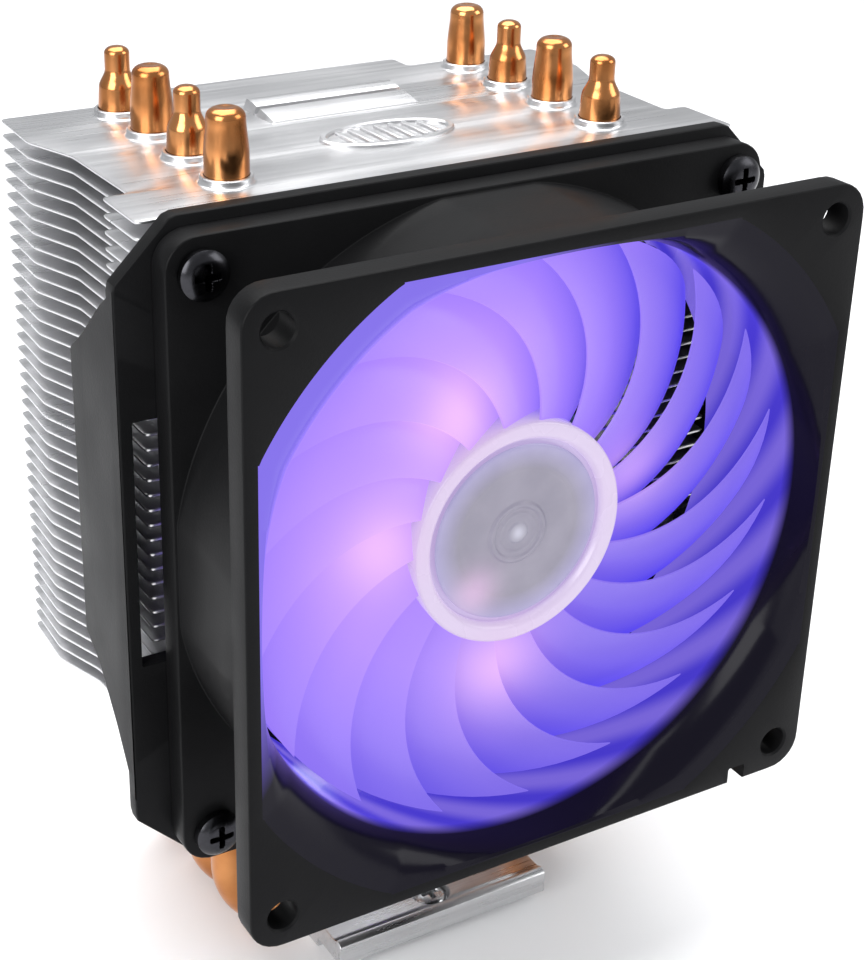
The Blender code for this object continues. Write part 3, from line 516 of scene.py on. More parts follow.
class Glow(Paint):
    """A lit material, with coordinates from the fan's axis and front: `flat` across the fan, `reach`
    from the axis, and the separate `parts`."""

    def __init__(self, name, strength, **values):
        super().__init__(name, Emission_Strength=strength, **values)
        to_axis = (-AXIS_X * MM, -FAN_Y * MM, -AXIS_Z * MM)
        centred = new_node(self.tree, "Mapping", self.place, to_axis).outputs[0]
        self.parts = new_node(self.tree, "SeparateXYZ", centred).outputs
        self.flat = new_node(self.tree, "CombineXYZ", self.parts["X"], 0.0, self.parts["Z"]).outputs[0]
        self.reach = vector_node(self.tree, "LENGTH", self.flat)["Value"]

    def towards(self, direction, low, high):
        """0 to 1 across the fan in that direction, between two distances from its axis in millimetres."""
        side = vector_node(self.tree, "DOT_PRODUCT", self.flat, (direction[0], 0.0, direction[1]))["Value"]
        return self.spread(side, 0.0, 1.0, low * MM, high * MM)

    def depth(self, low, high):
        """0 to 1 between two depths behind the fan's front, in millimetres."""
        return self.spread(self.parts["Y"], 0.0, 1.0, low * MM, high * MM)

    def spot(self, x, z, width):
        """A soft round mask, in millimetres from the axis."""
        centre = (x * MM, 0.0, z * MM)
        return self.use("glow round a point", self.flat, Centre=centre, Width=width * MM)["Mask"]

    def add_lamps(self, colour, width, amount):
        """Lay the glow of the lamps behind the rotor over a colour; each lamp has an angle and a radius."""
        lamps = ((118.0, 21.9, 1.0), (173.0, 21.4, 1.0), (264.0, 20.6, 0.85), (12.0, 20.0, 0.35))
        for angle, radius, share in lamps:
            a = math.radians(angle)
            mask = self.spot(radius * math.cos(a), radius * math.sin(a), width)
            colour = self.mix(self.math("MULTIPLY", mask, share * amount), colour, colours().glow_spot)
        return colour


def lit_blades():
    """Frosted blades with a painted glow: brightest near the hub and on the upper left, painted darker on
    the right, painted deep blue shade towards their rear edges, and the lamps' glow painted over.
    """
    paint = Glow("lit_blades", 1.0, Base_Color=(0.03, 0.025, 0.09, 1.0), Specular_IOR_Level=0.3)
    shade = colours()
    # painted glow: brighter near the hub and towards the upper left
    near = paint.spread(paint.reach, 1.0, 0.0, 18.0 * MM, 40.0 * MM)
    upper = paint.towards((-0.75, 0.66), -14.0, 34.0)
    near = paint.math("MULTIPLY_ADD", upper, 0.75, near, clamp=True)
    face = paint.mix(near, tint(shade.glow_main, 0.85), shade.glow_soft)
    # painted shade: the glow darkened towards the right side
    right = paint.towards((0.86, -0.5), -16.0, 20.0)
    face = paint.mix(paint.math("MULTIPLY", right, 0.85), face, tint(shade.glow_main, 0.72))
    # painted shade: deep blue towards the rear edges, strongest on the right
    deep = paint.math("MULTIPLY", paint.depth(9.5, 16.5), paint.spread(right, 0.35, 1.0, 0.0, 1.0))
    colour = paint.mix(deep, face, shade.glow_deep)
    # painted glow of the lamps behind the rotor, laid over the blades' colour
    colour = paint.add_lamps(paint.add_lamps(colour, 10.0, 0.4), 5.0, 0.7)
    paint.feed("Emission Color", colour)
    paint.grain(1800.0, 90.0, (0.30, 0.42), 0.01)
    return paint.material


def lit_duct():
    """The frame's smooth duct: black plastic with a painted reflection of the blades' light in slanting
    bands down its bore, a painted reflection of that light on the left of its mouth, and a painted highlight
    line where mouth and bore meet."""
    shade = colours()
    paint = Glow("lit_duct", 1.0, Base_Color=(*tint(shade.plastic, 0.7), 1.0), Specular_IOR_Level=0.1)
    # painted reflection: the blades' light in slanting bands down the bore
    turn = paint.math("ARCTAN2", paint.parts["Z"], paint.parts["X"])
    slant = paint.math("MULTIPLY_ADD", paint.parts["Y"], BAND_SLANT, 0.6)
    wave = paint.math("SINE", paint.math("MULTIPLY_ADD", turn, 18.0, slant))
    bands = paint.spread(wave, 0.0, 1.0, -0.9, 0.9)
    bore = paint.mix(bands, tint(shade.glow_deep, 0.85), tint(shade.glow_main, 0.7))
    # painted reflection of the blades' light on the left of the mouth; near black on its right
    left = paint.towards((-0.8, 0.6), 22.0, 33.0)
    mouth = paint.mix(left, (0.001, 0.0, 0.006), tint(shade.glow_main, 0.85))
    colour = paint.mix(paint.depth(MOUTH[2] - 1.6, MOUTH[2] + 0.6), mouth, bore)
    # painted highlight: a bright line where mouth and bore meet, on the left
    line = paint.math("ABSOLUTE", paint.math("ADD", paint.parts["Y"], -(MOUTH[2] - 0.6) * MM))
    line = paint.math("MULTIPLY", paint.spread(line, 1.0, 0.0, 0.1 * MM, 0.42 * MM), left)
    paint.feed("Emission Color", paint.mix(line, colour, (0.80, 0.74, 1.0)))
    paint.grain(1500.0, 60.0, (0.16, 0.26), 0.004)
    return paint.material


def lit_hub():
    """The hub's ring, with a painted glow: nearly white in front, violet on its side, and the lamps' glow
    painted over.
    """
    paint = Glow("lit_hub", 0.5, Base_Color=(0.22, 0.20, 0.26, 1.0))
    # painted glow: nearly white on the front face, violet on the side
    side = paint.depth(HUB_FRONT + 0.5, HUB_FRONT + 4.0)
    colour = paint.mix(side, (0.86, 0.70, 0.96), tint(colours().glow_main, 1.4))
    # painted glow of the lamps laid over the ring
    paint.feed("Emission Color", paint.add_lamps(colour, 8.0, 0.5))
    paint.grain(1800.0, 110.0, (0.22, 0.36), 0.008)
    return paint.material


def lit_disc():
    """The disc in the hub: grey, with a painted glow shone through from behind at its rim, a painted
    highlight on its middle dot, and the painted glow of a pink lamp low on the left.
    """
    paint = Glow("lit_disc", 0.5, Roughness=0.38)
    # painted glow shone through from behind, growing towards the rim
    rim = paint.spread(paint.reach, 0.0, 0.8, 9.5 * MM, 13.0 * MM)
    colour = paint.mix(rim, (0.19, 0.17, 0.25), (0.42, 0.36, 0.86))
    # painted highlight on the raised dot in the middle
    colour = paint.mix(paint.spot(0.0, 0.0, 1.1), colour, (0.75, 0.75, 0.9))
    # painted glow of a pink lamp low on the left
    lamp = paint.math("MULTIPLY", paint.spot(-6.6, -7.6, 3.4), 0.8)
    paint.feed("Emission Color", paint.mix(lamp, colour, colours().glow_spot))
    marks = paint.use("fine grain", Grain_Scale=1500.0, Blotch_Scale=160.0)
    blotches = paint.spread(marks["Blotches"], 0.0, 1.0)
    paint.feed("Base Color", paint.mix(blotches, (0.15, 0.145, 0.17), (0.20, 0.19, 0.22)))
    paint.bump(marks["Height"], 0.01)
    return paint.material


# ------------------------------------------------------------------ heat pipes and base
def pipe_row(index, pitch):
    """Y of a pipe, counted from the back."""
    return ((PIPE_COUNT - 1) / 2 - index) * pitch


def pipe_tip(nipple):
    """(distance below the tip, radius) down a closed end: a plain one is spun to a dome and a slight neck,
    one with a filling nipple steps down to a thin neck."""
    turn = np.linspace(0.0, np.pi / 2, 7)
    if nipple:
        dome = stacked(1 - np.cos(turn), 0.35 + 1.45 * np.sin(turn))
        t = np.linspace(0.0, 1.0, 9)
        shoulder = stacked(3.3 + 2.6 * t, 1.8 + 0.95 * ease(t))
        return np.concatenate([[(0.0, 0.001)], dome, shoulder, [(8.0, 2.9), (9.6, 3.0)]])
    dome = stacked(1.3 * (1 - np.cos(turn)), 1.1 + 1.5 * np.sin(turn))
    t = np.linspace(0.15, 1.0, 6)
    return np.concatenate([[(0.15, 0.001), (0.05, 0.9)], dome, stacked(1.3 + 5.2 * t, 2.6 + 0.4 * ease(t))])


def pipe_centre_line(leg_x, leg_y, base_y):
    """Half a U, from its right leg to the middle: straight down, a smooth shift in Y, a quarter circle
    and a flat run."""
    low = PIPE_FLAT[1] + PIPE_BEND_R + 2.0
    high = STACK_LOW[2] - 4.0
    straight = np.linspace(PIPE_TOP - 12.0, high, 12, endpoint=False)
    t = np.linspace(0.0, 1.0, 16)
    z = np.concatenate([straight, high + (low - high) * t])
    y = np.concatenate([np.full(len(straight), leg_y), leg_y + (base_y - leg_y) * ease(t)])
    a = np.linspace(0.0, np.pi / 2, 22)
    bend = stacked(leg_x - PIPE_BEND_R * (1 - np.cos(a)), base_y,
                   PIPE_FLAT[1] + PIPE_BEND_R * (1 - np.sin(a)))
    run = stacked(np.linspace(leg_x - PIPE_BEND_R - 1.5, 1.0, 6), base_y, PIPE_FLAT[1])
    return np.concatenate([stacked(leg_x, y, z), bend, run])


def heat_pipe(index, sides=40):
    """A pipe carried along its U: across the path the outline is a circle that turns into a flattened
    one, |cos|^p by |sin|^p, where the pipe lies in the base."""
    radius = sizes().pipe_radius / MM
    leg_x = PIPE_OUT - radius
    leg_y, base_y = pipe_row(index, PIPE_PITCH), pipe_row(index, PIPE_PITCH_BASE)
    half = pipe_centre_line(leg_x, leg_y, base_y)
    flip = np.array([-1.0, 1.0, 1.0])

    def tip(nipple, side):
        shape = pipe_tip(nipple)
        return stacked(side * leg_x, leg_y, PIPE_TOP - shape[:, 0]), shape[:, 1]

    left, left_r = tip(index % 2 == 0, -1.0)
    right, right_r = tip(index % 2 == 1, 1.0)
    path = np.concatenate([left, half * flip, half[::-1], right[::-1]])
    size = np.concatenate([left_r, np.full(2 * len(half), radius), right_r[::-1]])
    tangent = np.gradient(path, axis=0)
    tangent[:len(left)], tangent[-len(right):] = (0, 0, -1), (0, 0, 1)
    tangent /= np.linalg.norm(tangent, axis=1, keepdims=True)
    across = np.array([0.0, 1.0, 0.0]) - tangent * tangent[:, 1:2]
    across /= np.linalg.norm(across, axis=1, keepdims=True)
    up = np.cross(tangent, across)
    flat = ease((leg_x - PIPE_BEND_R * 0.45 - np.abs(path[:, 0])) / (PIPE_BEND_R * 0.5))[:, None]
    wide = size[:, None] + (PIPE_FLAT[0] - size[:, None]) * flat
    high = size[:, None] + (PIPE_FLAT[1] - size[:, None]) * flat
    a = 2 * np.pi * (np.arange(sides) + 0.5)[None] / sides
    power = 1.0 - 0.45 * flat
    c = np.sign(np.cos(a)) * np.abs(np.cos(a)) ** power * wide
    s = np.sign(np.sin(a)) * np.minimum(np.abs(np.sin(a)) ** power * 1.01, 1.0) * high
    points = path[:, None] + across[:, None] * c[..., None] + up[:, None] * s[..., None]
    points[..., 2] = np.maximum(points[..., 2], 0.0)
    return surface(points, wrap_columns=True, caps=True)


def base_outline():
    """(y, z) outline of the base: ledges with a raised lip, a chamfered top, and a groove for each pipe."""
    start, under, top = BASE_LEDGE
    reach, high = BASE_HIGH[1], BASE_HIGH[2]
    lip = 1.2
    rear = [(start, 0.0), (start, under), (reach, under), (reach, top), (reach - lip, top + 0.5),
            (reach - 2 * lip, top), (start - 2.0, top), (start - 4.0, high)]
    half, roof = PIPE_FLAT[0] + 0.2, 2 * PIPE_FLAT[1] + 0.3
    grooves = []
    for index in reversed(range(PIPE_COUNT)):
        y = pipe_row(index, PIPE_PITCH_BASE)
        grooves += [(y - half, 0.0), (y - half, roof - 1.2), (y - half + 1.2, roof),
                    (y + half - 1.2, roof), (y + half, roof - 1.2), (y + half, 0.0)]
    return rear + [(-y, z) for y, z in rear[::-1]] + grooves


def screw_surface(centre, radius, rise, shank_r, reach, arm, facing):
    """A pan-head screw: the head's height over a disc is rise (1 - (r/R)^4), less a cross of that arm
    length; `facing` is +1 for a head that looks up Z and -1 for one that looks along -Y."""
    sides, rings = 72, np.linspace(0.0, 1.0, 30)
    a = (2 * np.pi * np.arange(sides) / sides)[:, None]
    r = rings[None] * radius
    u, v = r * np.cos(a), r * np.sin(a)
    dome = rise * (0.55 + 0.45 * (1 - rings[None] ** 4))
    slot_half, slot_soft = 0.42, 0.14
    along_u = (np.abs(u) < arm) * ease((slot_half - np.abs(v)) / slot_soft)
    along_v = (np.abs(v) < arm) * ease((slot_half - np.abs(u)) / slot_soft)
    head = stacked(u, v, dome - 0.8 * rise * np.maximum(along_u, along_v) * ease((arm - r) / 0.3))
    shank = [(radius, 0.0), (shank_r, 0.0), (shank_r, -reach + 0.3), (shank_r - 0.3, -reach), (0.0, -reach)]
    under_r, under_h = np.array(shank).T
    under = stacked(under_r * np.cos(a), under_r * np.sin(a), under_h)
    points = np.concatenate([head, under], 1)
    if facing < 0:
        points = points[..., [0, 2, 1]] * np.array([1.0, -1.0, 1.0])
    return surface(points + np.asarray(centre, float), wrap_rows=True)


# ------------------------------------------------------------------ fins
def fin_outline(radius):
    """(x, y) outline of a fin: hooked front corners, a narrow waist and a stepped rear edge."""
    x, front, back = STACK_HIGH[0], STACK_LOW[1], STACK_HIGH[1]
    right = [(x, front), (x, FIN_TAB_Y), (FIN_WAIST_X, FIN_TAB_Y), (FIN_WAIST_X + 0.4, 2.0),
             (x - 0.2, 11.0), (x - 0.6, 23.2), (22.0, 22.9), (22.0, back)]
    return rounded(right + [(-px, py) for px, py in right[::-1]], radius, 3)


def pipe_places():
    """(x, y) of the eight legs of the pipes."""
    leg_x = PIPE_OUT - sizes().pipe_radius / MM
    return [(side * leg_x, pipe_row(index, PIPE_PITCH)) for side in (-1, 1) for index in range(PIPE_COUNT)]


def sheet(outline, holes, z):
    """A flat face with round holes, cut into triangles."""
    loops = [outline] + holes
    points = np.concatenate(loops)
    faces = tessellate_polygon([[Vector((*p, 0.0)) for p in loop] for loop in loops])
    return np.column_stack([points, np.full(len(points), z)]), [list(face) for face in faces]


def fin(z, thick, collar, sides, bend):
    """One fin: an upper and a lower sheet, a border with rounded edges, and a collar round each pipe."""
    inner, outer, rise = collar
    edge = thick * 0.3
    outline = fin_outline(0.9)
    points, faces = extruded(outline, z, z + thick, edge, "xyz", 2)
    border = (points, faces[:-2])
    drawn = outline + inwards(outline) * edge
    a = np.linspace(0.0, np.pi / 2, 4)
    foot = stacked(outer + bend * (1 - np.sin(a)), z + thick + bend * (1 - np.cos(a)))
    lip = np.array([(outer, z + thick + rise - 0.15), (outer - 0.15, z + thick + rise),
                    (inner, z + thick + rise), (inner, z)])
    profile = np.concatenate([foot, lip])
    places = pipe_places()
    parts = [border, sheet(drawn, [circle(outer + bend, sides, p) for p in places], z + thick),
             sheet(drawn, [circle(inner, sides, p) for p in places], z)]
    return parts + [turned(profile, sides, (*place, 0.0), "z", closed=False) for place in places]


def ridge():
    """The raised rib of the top fin: a ramp with a slit across it, rising to a crest, its ends drawn in."""
    z = TOP_LOW[2] + FIN_T
    profile = np.array([(3.0, -0.2), (3.3, 0.2), (5.5, 0.65), (7.6, 1.0), (7.8, 1.0), (7.9, 0.1), (8.7, 0.1),
                        (8.8, 1.1), (9.0, 1.2), (11.4, 1.5), (11.9, 1.5), (12.15, 1.38), (12.2, -0.2)])
    t = np.linspace(-1.0, 1.0, 41)
    fade = np.sqrt(np.clip((1.0 - np.abs(t)) / 0.05, 0.0, 1.0))[:, None]
    height = z - 0.2 + (profile[None, :, 1] + 0.2) * fade
    points = stacked((12.6 * t)[:, None], profile[None, :, 0], height)
    return surface(points, wrap_columns=True, caps=True)


def badge():
    """A plain raised oval with seven short bars, on the top fin."""
    z, centre_y, half = TOP_LOW[2] + FIN_T, -8.5, (10.5, 5.6)
    a = (2 * np.pi * np.arange(96) / 96)[:, None]
    across, up = np.array([(0.0, -0.2), (0.0, 0.3), (-0.25, 0.5), (-0.85, 0.5), (-1.1, 0.3), (-1.1, -0.2)]).T
    ring = stacked((half[0] + across) * np.cos(a), centre_y + (half[1] + across) * np.sin(a), z + up)
    parts = [surface(ring, wrap_rows=True, wrap_columns=True)]
    for k in range(-3, 4):
        x = k * 2.2
        long = 3.6 * math.sqrt(1 - (x / half[0]) ** 2)
        low, high = (x - 0.45, centre_y - long, z - 0.2), (x + 0.45, centre_y + long, z + 0.4)
        parts.append(block(low, high, 0.18, 2))
    return parts


# ------------------------------------------------------------------ fan frame and bracket
def square_reach(angle, half, corner):
    """Distance from the middle to a square with round corners, in that direction: the side's distance
    half / max(|cos|, |sin|), or where the corner's arc is nearer, the far point where the ray meets it."""
    c, s = np.abs(np.cos(angle)), np.abs(np.sin(angle))
    side = half / np.maximum(c, s)
    middle = half - corner
    along = middle * (c + s)
    inside = along ** 2 - 2 * middle ** 2 + corner ** 2
    arc = along + np.sqrt(np.maximum(inside, 0.0))
    in_corner = (np.minimum(c, s) * side > middle) & (inside > 0)
    return np.where(in_corner, arc, side)


def clipped_reach(angle, radius, flat):
    """Distance to a circle whose four sides are cut flat."""
    return np.minimum(radius, flat / np.maximum(np.abs(np.cos(angle)), np.abs(np.sin(angle))))


def frame_angles():
    """Even steps round the axis, which also meet the middle of each corner."""
    steps = sizes().round_steps
    return 2 * np.pi * (np.arange(steps) + 0.5) / steps


def around_fan(rows, angle):
    """A closed profile carried round the fan's axis: each row of it is a distance from the axis, which
    depends on the angle, and a depth behind the fan's front face."""
    reach, depth = np.stack([r for r, _ in rows], -1), np.array([d for _, d in rows])
    a = angle[:, None]
    points = stacked(AXIS_X + reach * np.cos(a), FAN_Y + depth, AXIS_Z + reach * np.sin(a))
    return surface(points, wrap_rows=True, wrap_columns=True)


def rim(reach, depth, draw, step, back=False):
    """Rows of a rounded edge: the distance changes by draw (1 - sin a) and the depth by step (1 - cos a)."""
    turn = np.linspace(0.0, np.pi / 2, 4)
    rows = [(reach + draw * (1 - math.sin(a)), depth + step * (1 - math.cos(a))) for a in turn]
    return rows[::-1] if back else rows


def frame_shell():
    """The fan's frame: over the front flange, the duct and the rear flange, then back through the bore
    and the flared mouth, where the radius grows by 1 - sqrt(1 - (1-t)^2)."""
    angle, e = frame_angles(), sizes().edge_round / MM
    square = square_reach(angle, FAN_HALF, CORNER_R)
    duct = clipped_reach(angle, *DUCT)
    mouth = clipped_reach(angle, MOUTH[0], MOUTH[1])
    bore = np.full(len(angle), BORE_R)
    fillet = 0.25

    def outer_flange(front, rear):
        return rim(square, front, -e, e) + rim(square, rear, -e, -e, back=True)

    rows = outer_flange(0.0, FLANGE_T)
    rows += rim(duct, FLANGE_T, fillet, fillet)
    rows += [(duct, FAN_D * k / 4) for k in (1.4, 2.0, 2.6)]
    rows += rim(duct, FAN_D - FLANGE_T, fillet, -fillet, back=True)
    rows += outer_flange(FAN_D - FLANGE_T, FAN_D)
    rows += rim(bore, FAN_D, e, -e)
    rows += [(bore, FAN_D * k / 8) for k in (6.5, 5.0, 3.5, 2.4)]
    for t in np.linspace(1.0, 0.04, 14):
        swell = 1 - math.sqrt(1 - (1 - t) ** 2)
        rows.append((bore + (mouth - bore) * swell, t * MOUTH[2]))
    rows += [(mouth + 0.12, 0.08), (mouth + 0.35, 0.0)]
    return around_fan(rows, angle)


def faces_in_duct(mesh):
    """1 for the faces of the bore and of the flared mouth, 0 for the others: those nearer the axis than
    44.5 + 6 (1 - d/4)^2 at the depth d, and inside the mouth's flat sides."""
    centres = np.empty(len(mesh.polygons) * 3, np.float32)
    mesh.polygons.foreach_get("center", centres)
    x, y, z = (centres.reshape(-1, 3) / MM - (AXIS_X, FAN_Y, AXIS_Z)).T
    limit = 44.5 + 6.0 * np.maximum(0.0, 1.0 - y / 4.0) ** 2
    inside = np.maximum(np.abs(x), np.abs(z)) < 44.6
    return ((y > 0.03) & (np.hypot(x, z) < limit) & inside).astype(np.int32)


def corner_places():
    """(x, z) of the four fixing holes."""
    signs = ((-1, 1), (1, 1), (1, -1), (-1, -1))
    return [(AXIS_X + sx * HOLE_AT, AXIS_Z + sz * HOLE_AT) for sx, sz in signs]


def frame_cutters():
    """What is cut out of the frame: a countersunk hole in each flange corner, and two notches."""
    e, beyond = 0.3, FAN_D + 1.0
    profile = [(0.0, -1.0), (HOLE_R + e, -1.0), (HOLE_R + e, 0.0), (HOLE_R, e), (HOLE_R, beyond),
               (0.0, beyond)]
    holes = [turned(profile, 48, (x, FAN_Y, z)) for x, z in corner_places()]
    low, rear = AXIS_Z - FAN_HALF, FAN_Y + FAN_D
    front_notch = block((33.0, FAN_Y - 1.0, low - 1.0), (36.0, FAN_Y + FLANGE_T + 1.0, low + 2.6), e)
    rear_notch = block((28.0, rear - FLANGE_T - 1.0, low - 1.0), (33.0, rear + 1.0, low + 2.0), e)
    return holes + [front_notch, rear_notch]


def motor_mount():
    """The motor plate with its socket, and the four struts that carry it."""
    rear = FAN_D
    plate = rounded([(4.2, rear - 5.0), (5.2, rear - 5.0), (5.2, rear - 2.2), (MOTOR_R, rear - 2.2),
                     (MOTOR_R, rear), (0.0, rear), (0.0, rear - 0.6), (4.2, rear - 0.6)], 0.3, 3)
    plate[:, 0] = np.maximum(plate[:, 0], 0.0)
    parts = [turned(plate, 96, (AXIS_X, FAN_Y, AXIS_Z))]
    for k in range(4):
        a = math.pi / 4 + math.pi / 2 * k
        t = np.linspace(MOTOR_R - 1.0, BORE_R + 1.2, 14)[:, None]
        section = [(-2.1, rear - 2.8), (2.1, rear - 2.8), (1.6, rear - 0.3), (-1.6, rear - 0.3)]
        outline = rounded(section, 0.5, 3)
        side, depth = outline[None, :, 0], outline[None, :, 1]
        points = stacked(AXIS_X + t * math.cos(a) - side * math.sin(a), FAN_Y + depth,
                         AXIS_Z + t * math.sin(a) + side * math.cos(a))
        parts.append(surface(points, wrap_columns=True, caps=True))
    return parts


def bracket_plate(front, thick):
    """The bracket's eight-sided ring: the outer distance is the least of the sides' and the cut corners'
    distances, the inner one a circle."""
    angle, e, cut_off = frame_angles(), sizes().edge_round / MM, 8.0
    half_x, half_z = BRACKET_HIGH[0], (BRACKET_HIGH[2] - BRACKET_LOW[2]) / 2
    c, s = np.abs(np.cos(angle)), np.abs(np.sin(angle))
    outer = np.minimum(np.minimum(half_x / c, half_z / s), (half_x + half_z - cut_off) / (c + s))
    inner = np.full(len(angle), BORE_R + 1.0)
    rows = rim(outer, front, -e, e) + rim(outer, front + thick, -e, -e, back=True)
    rows += rim(inner, front + thick, e, -e) + rim(inner, front, e, e, back=True)
    return around_fan(rows, angle)


def bracket_wings(front):
    """The side walls of the bracket with their cut corners, and the lips that hook behind the fins' tabs."""
    e = 0.3
    y0, lip_y = FAN_Y + front, BRACKET_HIGH[1]
    outline = [(y0, -36.5), (y0 + 6.0, -27.0), (y0 + 11.5, -20.0), (lip_y, -17.0),
               (lip_y, 26.0), (y0 + 12.0, 29.0), (y0 + 5.0, 35.5), (y0, 39.3)]
    outline = rounded([(y, z + AXIS_Z) for y, z in outline], 0.7, 4)
    parts = []
    for side in (-1, 1):
        low, high = sorted((side * (BRACKET_HIGH[0] - BRACKET_WALL), side * BRACKET_HIGH[0]))
        parts.append(extruded(outline, low, high, e, "yzx"))
        low, high = sorted((side * (FIN_WAIST_X + 2.2), side * (BRACKET_HIGH[0] - 0.5)))
        parts.append(block((low, lip_y - BRACKET_WALL, AXIS_Z - 14.0), (high, lip_y, AXIS_Z + 23.0), e))
    return parts


# ------------------------------------------------------------------ rotor
def blade_surface(turn):
    """One blade.  At the share s of the span and the share t of the chord its middle lies at the angle
    sweep (0.55 s + 0.45 s^2) - chord t and runs back with a slight camber; the two faces lie half a
    thickness either side, and the thickness follows the square root of a sine along the chord."""
    s = np.linspace(-0.02, 1.0, 22)[:, None]
    t = np.linspace(0.0, 1.0, 17)
    t = 0.5 - 0.5 * np.cos(np.pi * t)
    t, face = np.concatenate([t, t[::-1]])[None], np.repeat([-1.0, 1.0], len(t))[None]
    r = HUB_R + (BLADE_R - HUB_R) * s
    chord = np.radians(BLADE_CHORD[0] - BLADE_CHORD[1] * s)
    front, rear = BLADE_EDGES[0] - BLADE_EDGES[1] * s, BLADE_EDGES[2]
    angle = math.radians(BLADE_SWEEP) * (0.55 * s + 0.45 * s * s) - chord * t
    depth = front + (rear - front) * t - 0.9 * np.sin(np.pi * t)
    half = (0.60 - 0.22 * s) * np.sqrt(np.clip(np.sin(np.pi * np.clip(0.02 + t * 0.95, 0.0, 1.0)), 0.0, 1.0))
    rise, run = rear - front, r * chord
    slope = np.hypot(rise, run)
    angle = angle + face * half * (rise / slope) / r + turn
    depth = depth + face * half * (run / slope)
    points = stacked(AXIS_X + r * np.cos(angle), FAN_Y + depth, AXIS_Z + r * np.sin(angle))
    return surface(points, wrap_columns=True, caps=True)


def hub_surface():
    """The hub: a cup with a rounded rim round the recess of its disc, open to the rear."""
    floor, inner = HUB_FRONT + HUB_RECESS, HUB_FRONT + HUB_RECESS + 1.4
    profile = rounded([(HUB_RECESS_R, floor), (HUB_RECESS_R + 0.7, HUB_FRONT), (HUB_R, HUB_FRONT),
                       (HUB_R, HUB_REAR), (HUB_R - 1.2, HUB_REAR), (HUB_R - 1.2, inner)], 0.5, 5)
    profile = np.concatenate([profile, [(0.0, inner), (0.0, floor)]])
    return turned(profile, 144, (AXIS_X, FAN_Y, AXIS_Z))


def disc_surface():
    """The hub's disc: a flat face with two fine rings and a small raised dot, as height over radius."""
    back = HUB_FRONT + HUB_RECESS - 0.3
    r = np.concatenate([np.linspace(0.0, 6.0, 61), np.linspace(6.2, 12.7, 20)])
    height = 0.2 + 0.28 * ease((4.7 - r) / 0.4) - 0.22 * ease((3.9 - r) / 0.3) + 0.2 * ease((1.7 - r) / 0.4)
    height += 0.10 * np.exp(-((r - 2.9) / 0.25) ** 2) + 0.08 * np.exp(-((r - 9.6) / 0.3) ** 2)
    edge = [(12.9, back - 0.1), (13.0, back), (0.0, back)]
    return turned(np.concatenate([stacked(r, back - height), edge]), 120, (AXIS_X, FAN_Y, AXIS_Z))


# ------------------------------------------------------------------ operators
class COOLER_OT_heat_pipes(bpy.types.Operator):
    """Bend the four copper heat pipes"""
    bl_idname = "cooler.heat_pipes"
    bl_label = "Heat pipes"

    def execute(self, context):
        copper = polished_copper()
        for index in range(PIPE_COUNT):
            name = "heat_pipe_%d" % (index + 1)
            make_piece("copper_" + name, [heat_pipe(index)], copper, "cooler", [name], 50.0)
        return {"FINISHED"}


class COOLER_OT_base(bpy.types.Operator):
    """Mill the base and set its two screws"""
    bl_idname = "cooler.base"
    bl_label = "Base"

    def execute(self, context):
        half = BASE_HIGH[0]
        outline = rounded(base_outline(), 0.3, 2)
        base = make_piece("milled_base", [extruded(outline, -half, half, 0.25, "yzx")], milled_aluminium(),
                          "cooler", ["base_block"], 30.0)
        top = BASE_LEDGE[2]
        recess = [(0.0, -6.0), (1.6, -6.0), (1.6, -1.9), (3.1, -1.9), (3.1, -0.2), (3.4, 0.1), (3.4, 3.0),
                  (0.0, 3.0)]
        cut(base, [turned(recess, 48, (0.0, side * SCREW_Y, top), "z") for side in (-1, 1)])
        steel = plain_metal("bright_steel", (0.62, 0.63, 0.64), 0.24)
        for side, node in ((-1, "base_screw_front"), (1, "base_screw_rear")):
            screw = screw_surface((0.0, side * SCREW_Y, top - 1.6), 2.6, 1.45, 1.25, 1.7, 1.5, 1)
            make_piece("steel_" + node, [screw], steel, "cooler", [node])
        return {"FINISHED"}


class COOLER_OT_fins(bpy.types.Operator):
    """Stack the fins and lay the top fin with its rib and badge"""
    bl_idname = "cooler.fins"
    bl_label = "Fins"

    def execute(self, context):
        aluminium = sheet_aluminium()
        parts = []
        for k in range(FIN_COUNT):
            sleeve = (3.05, 3.35, FIN_PITCH - FIN_T - 0.15)
            parts += fin(STACK_LOW[2] + k * FIN_PITCH, FIN_T, sleeve, 16, 0.3)
        make_piece("stacked_fins", parts, aluminium, "cooler", ["fin_stack"], 32.0)
        parts = fin(TOP_LOW[2], FIN_T, (3.1, COLLAR_R, COLLAR_RISE), 48, 0.45)
        parts += [ridge()] + badge()
        make_piece("uppermost_fin", parts, aluminium, "cooler", ["top_fin"], 32.0)
        return {"FINISHED"}


class COOLER_OT_fan_frame(bpy.types.Operator):
    """Mould the fan's frame with its mouth, struts and motor plate"""
    bl_idname = "cooler.fan_frame"
    bl_label = "Fan frame"

    def execute(self, context):
        plastic = moulded_plastic("frame_plastic", 1.0, 0.42)
        shell = make_piece("fan_shell", [frame_shell()], plastic, "cooler",
                           ["fan_frame"], 28.0)
        cut(shell, frame_cutters())
        shell.data.materials.append(lit_duct())
        shell.data.polygons.foreach_set("material_index", faces_in_duct(shell.data))
        make_piece("motor_mount", motor_mount(), plastic, "cooler", ["fan_frame"], 28.0)
        return {"FINISHED"}


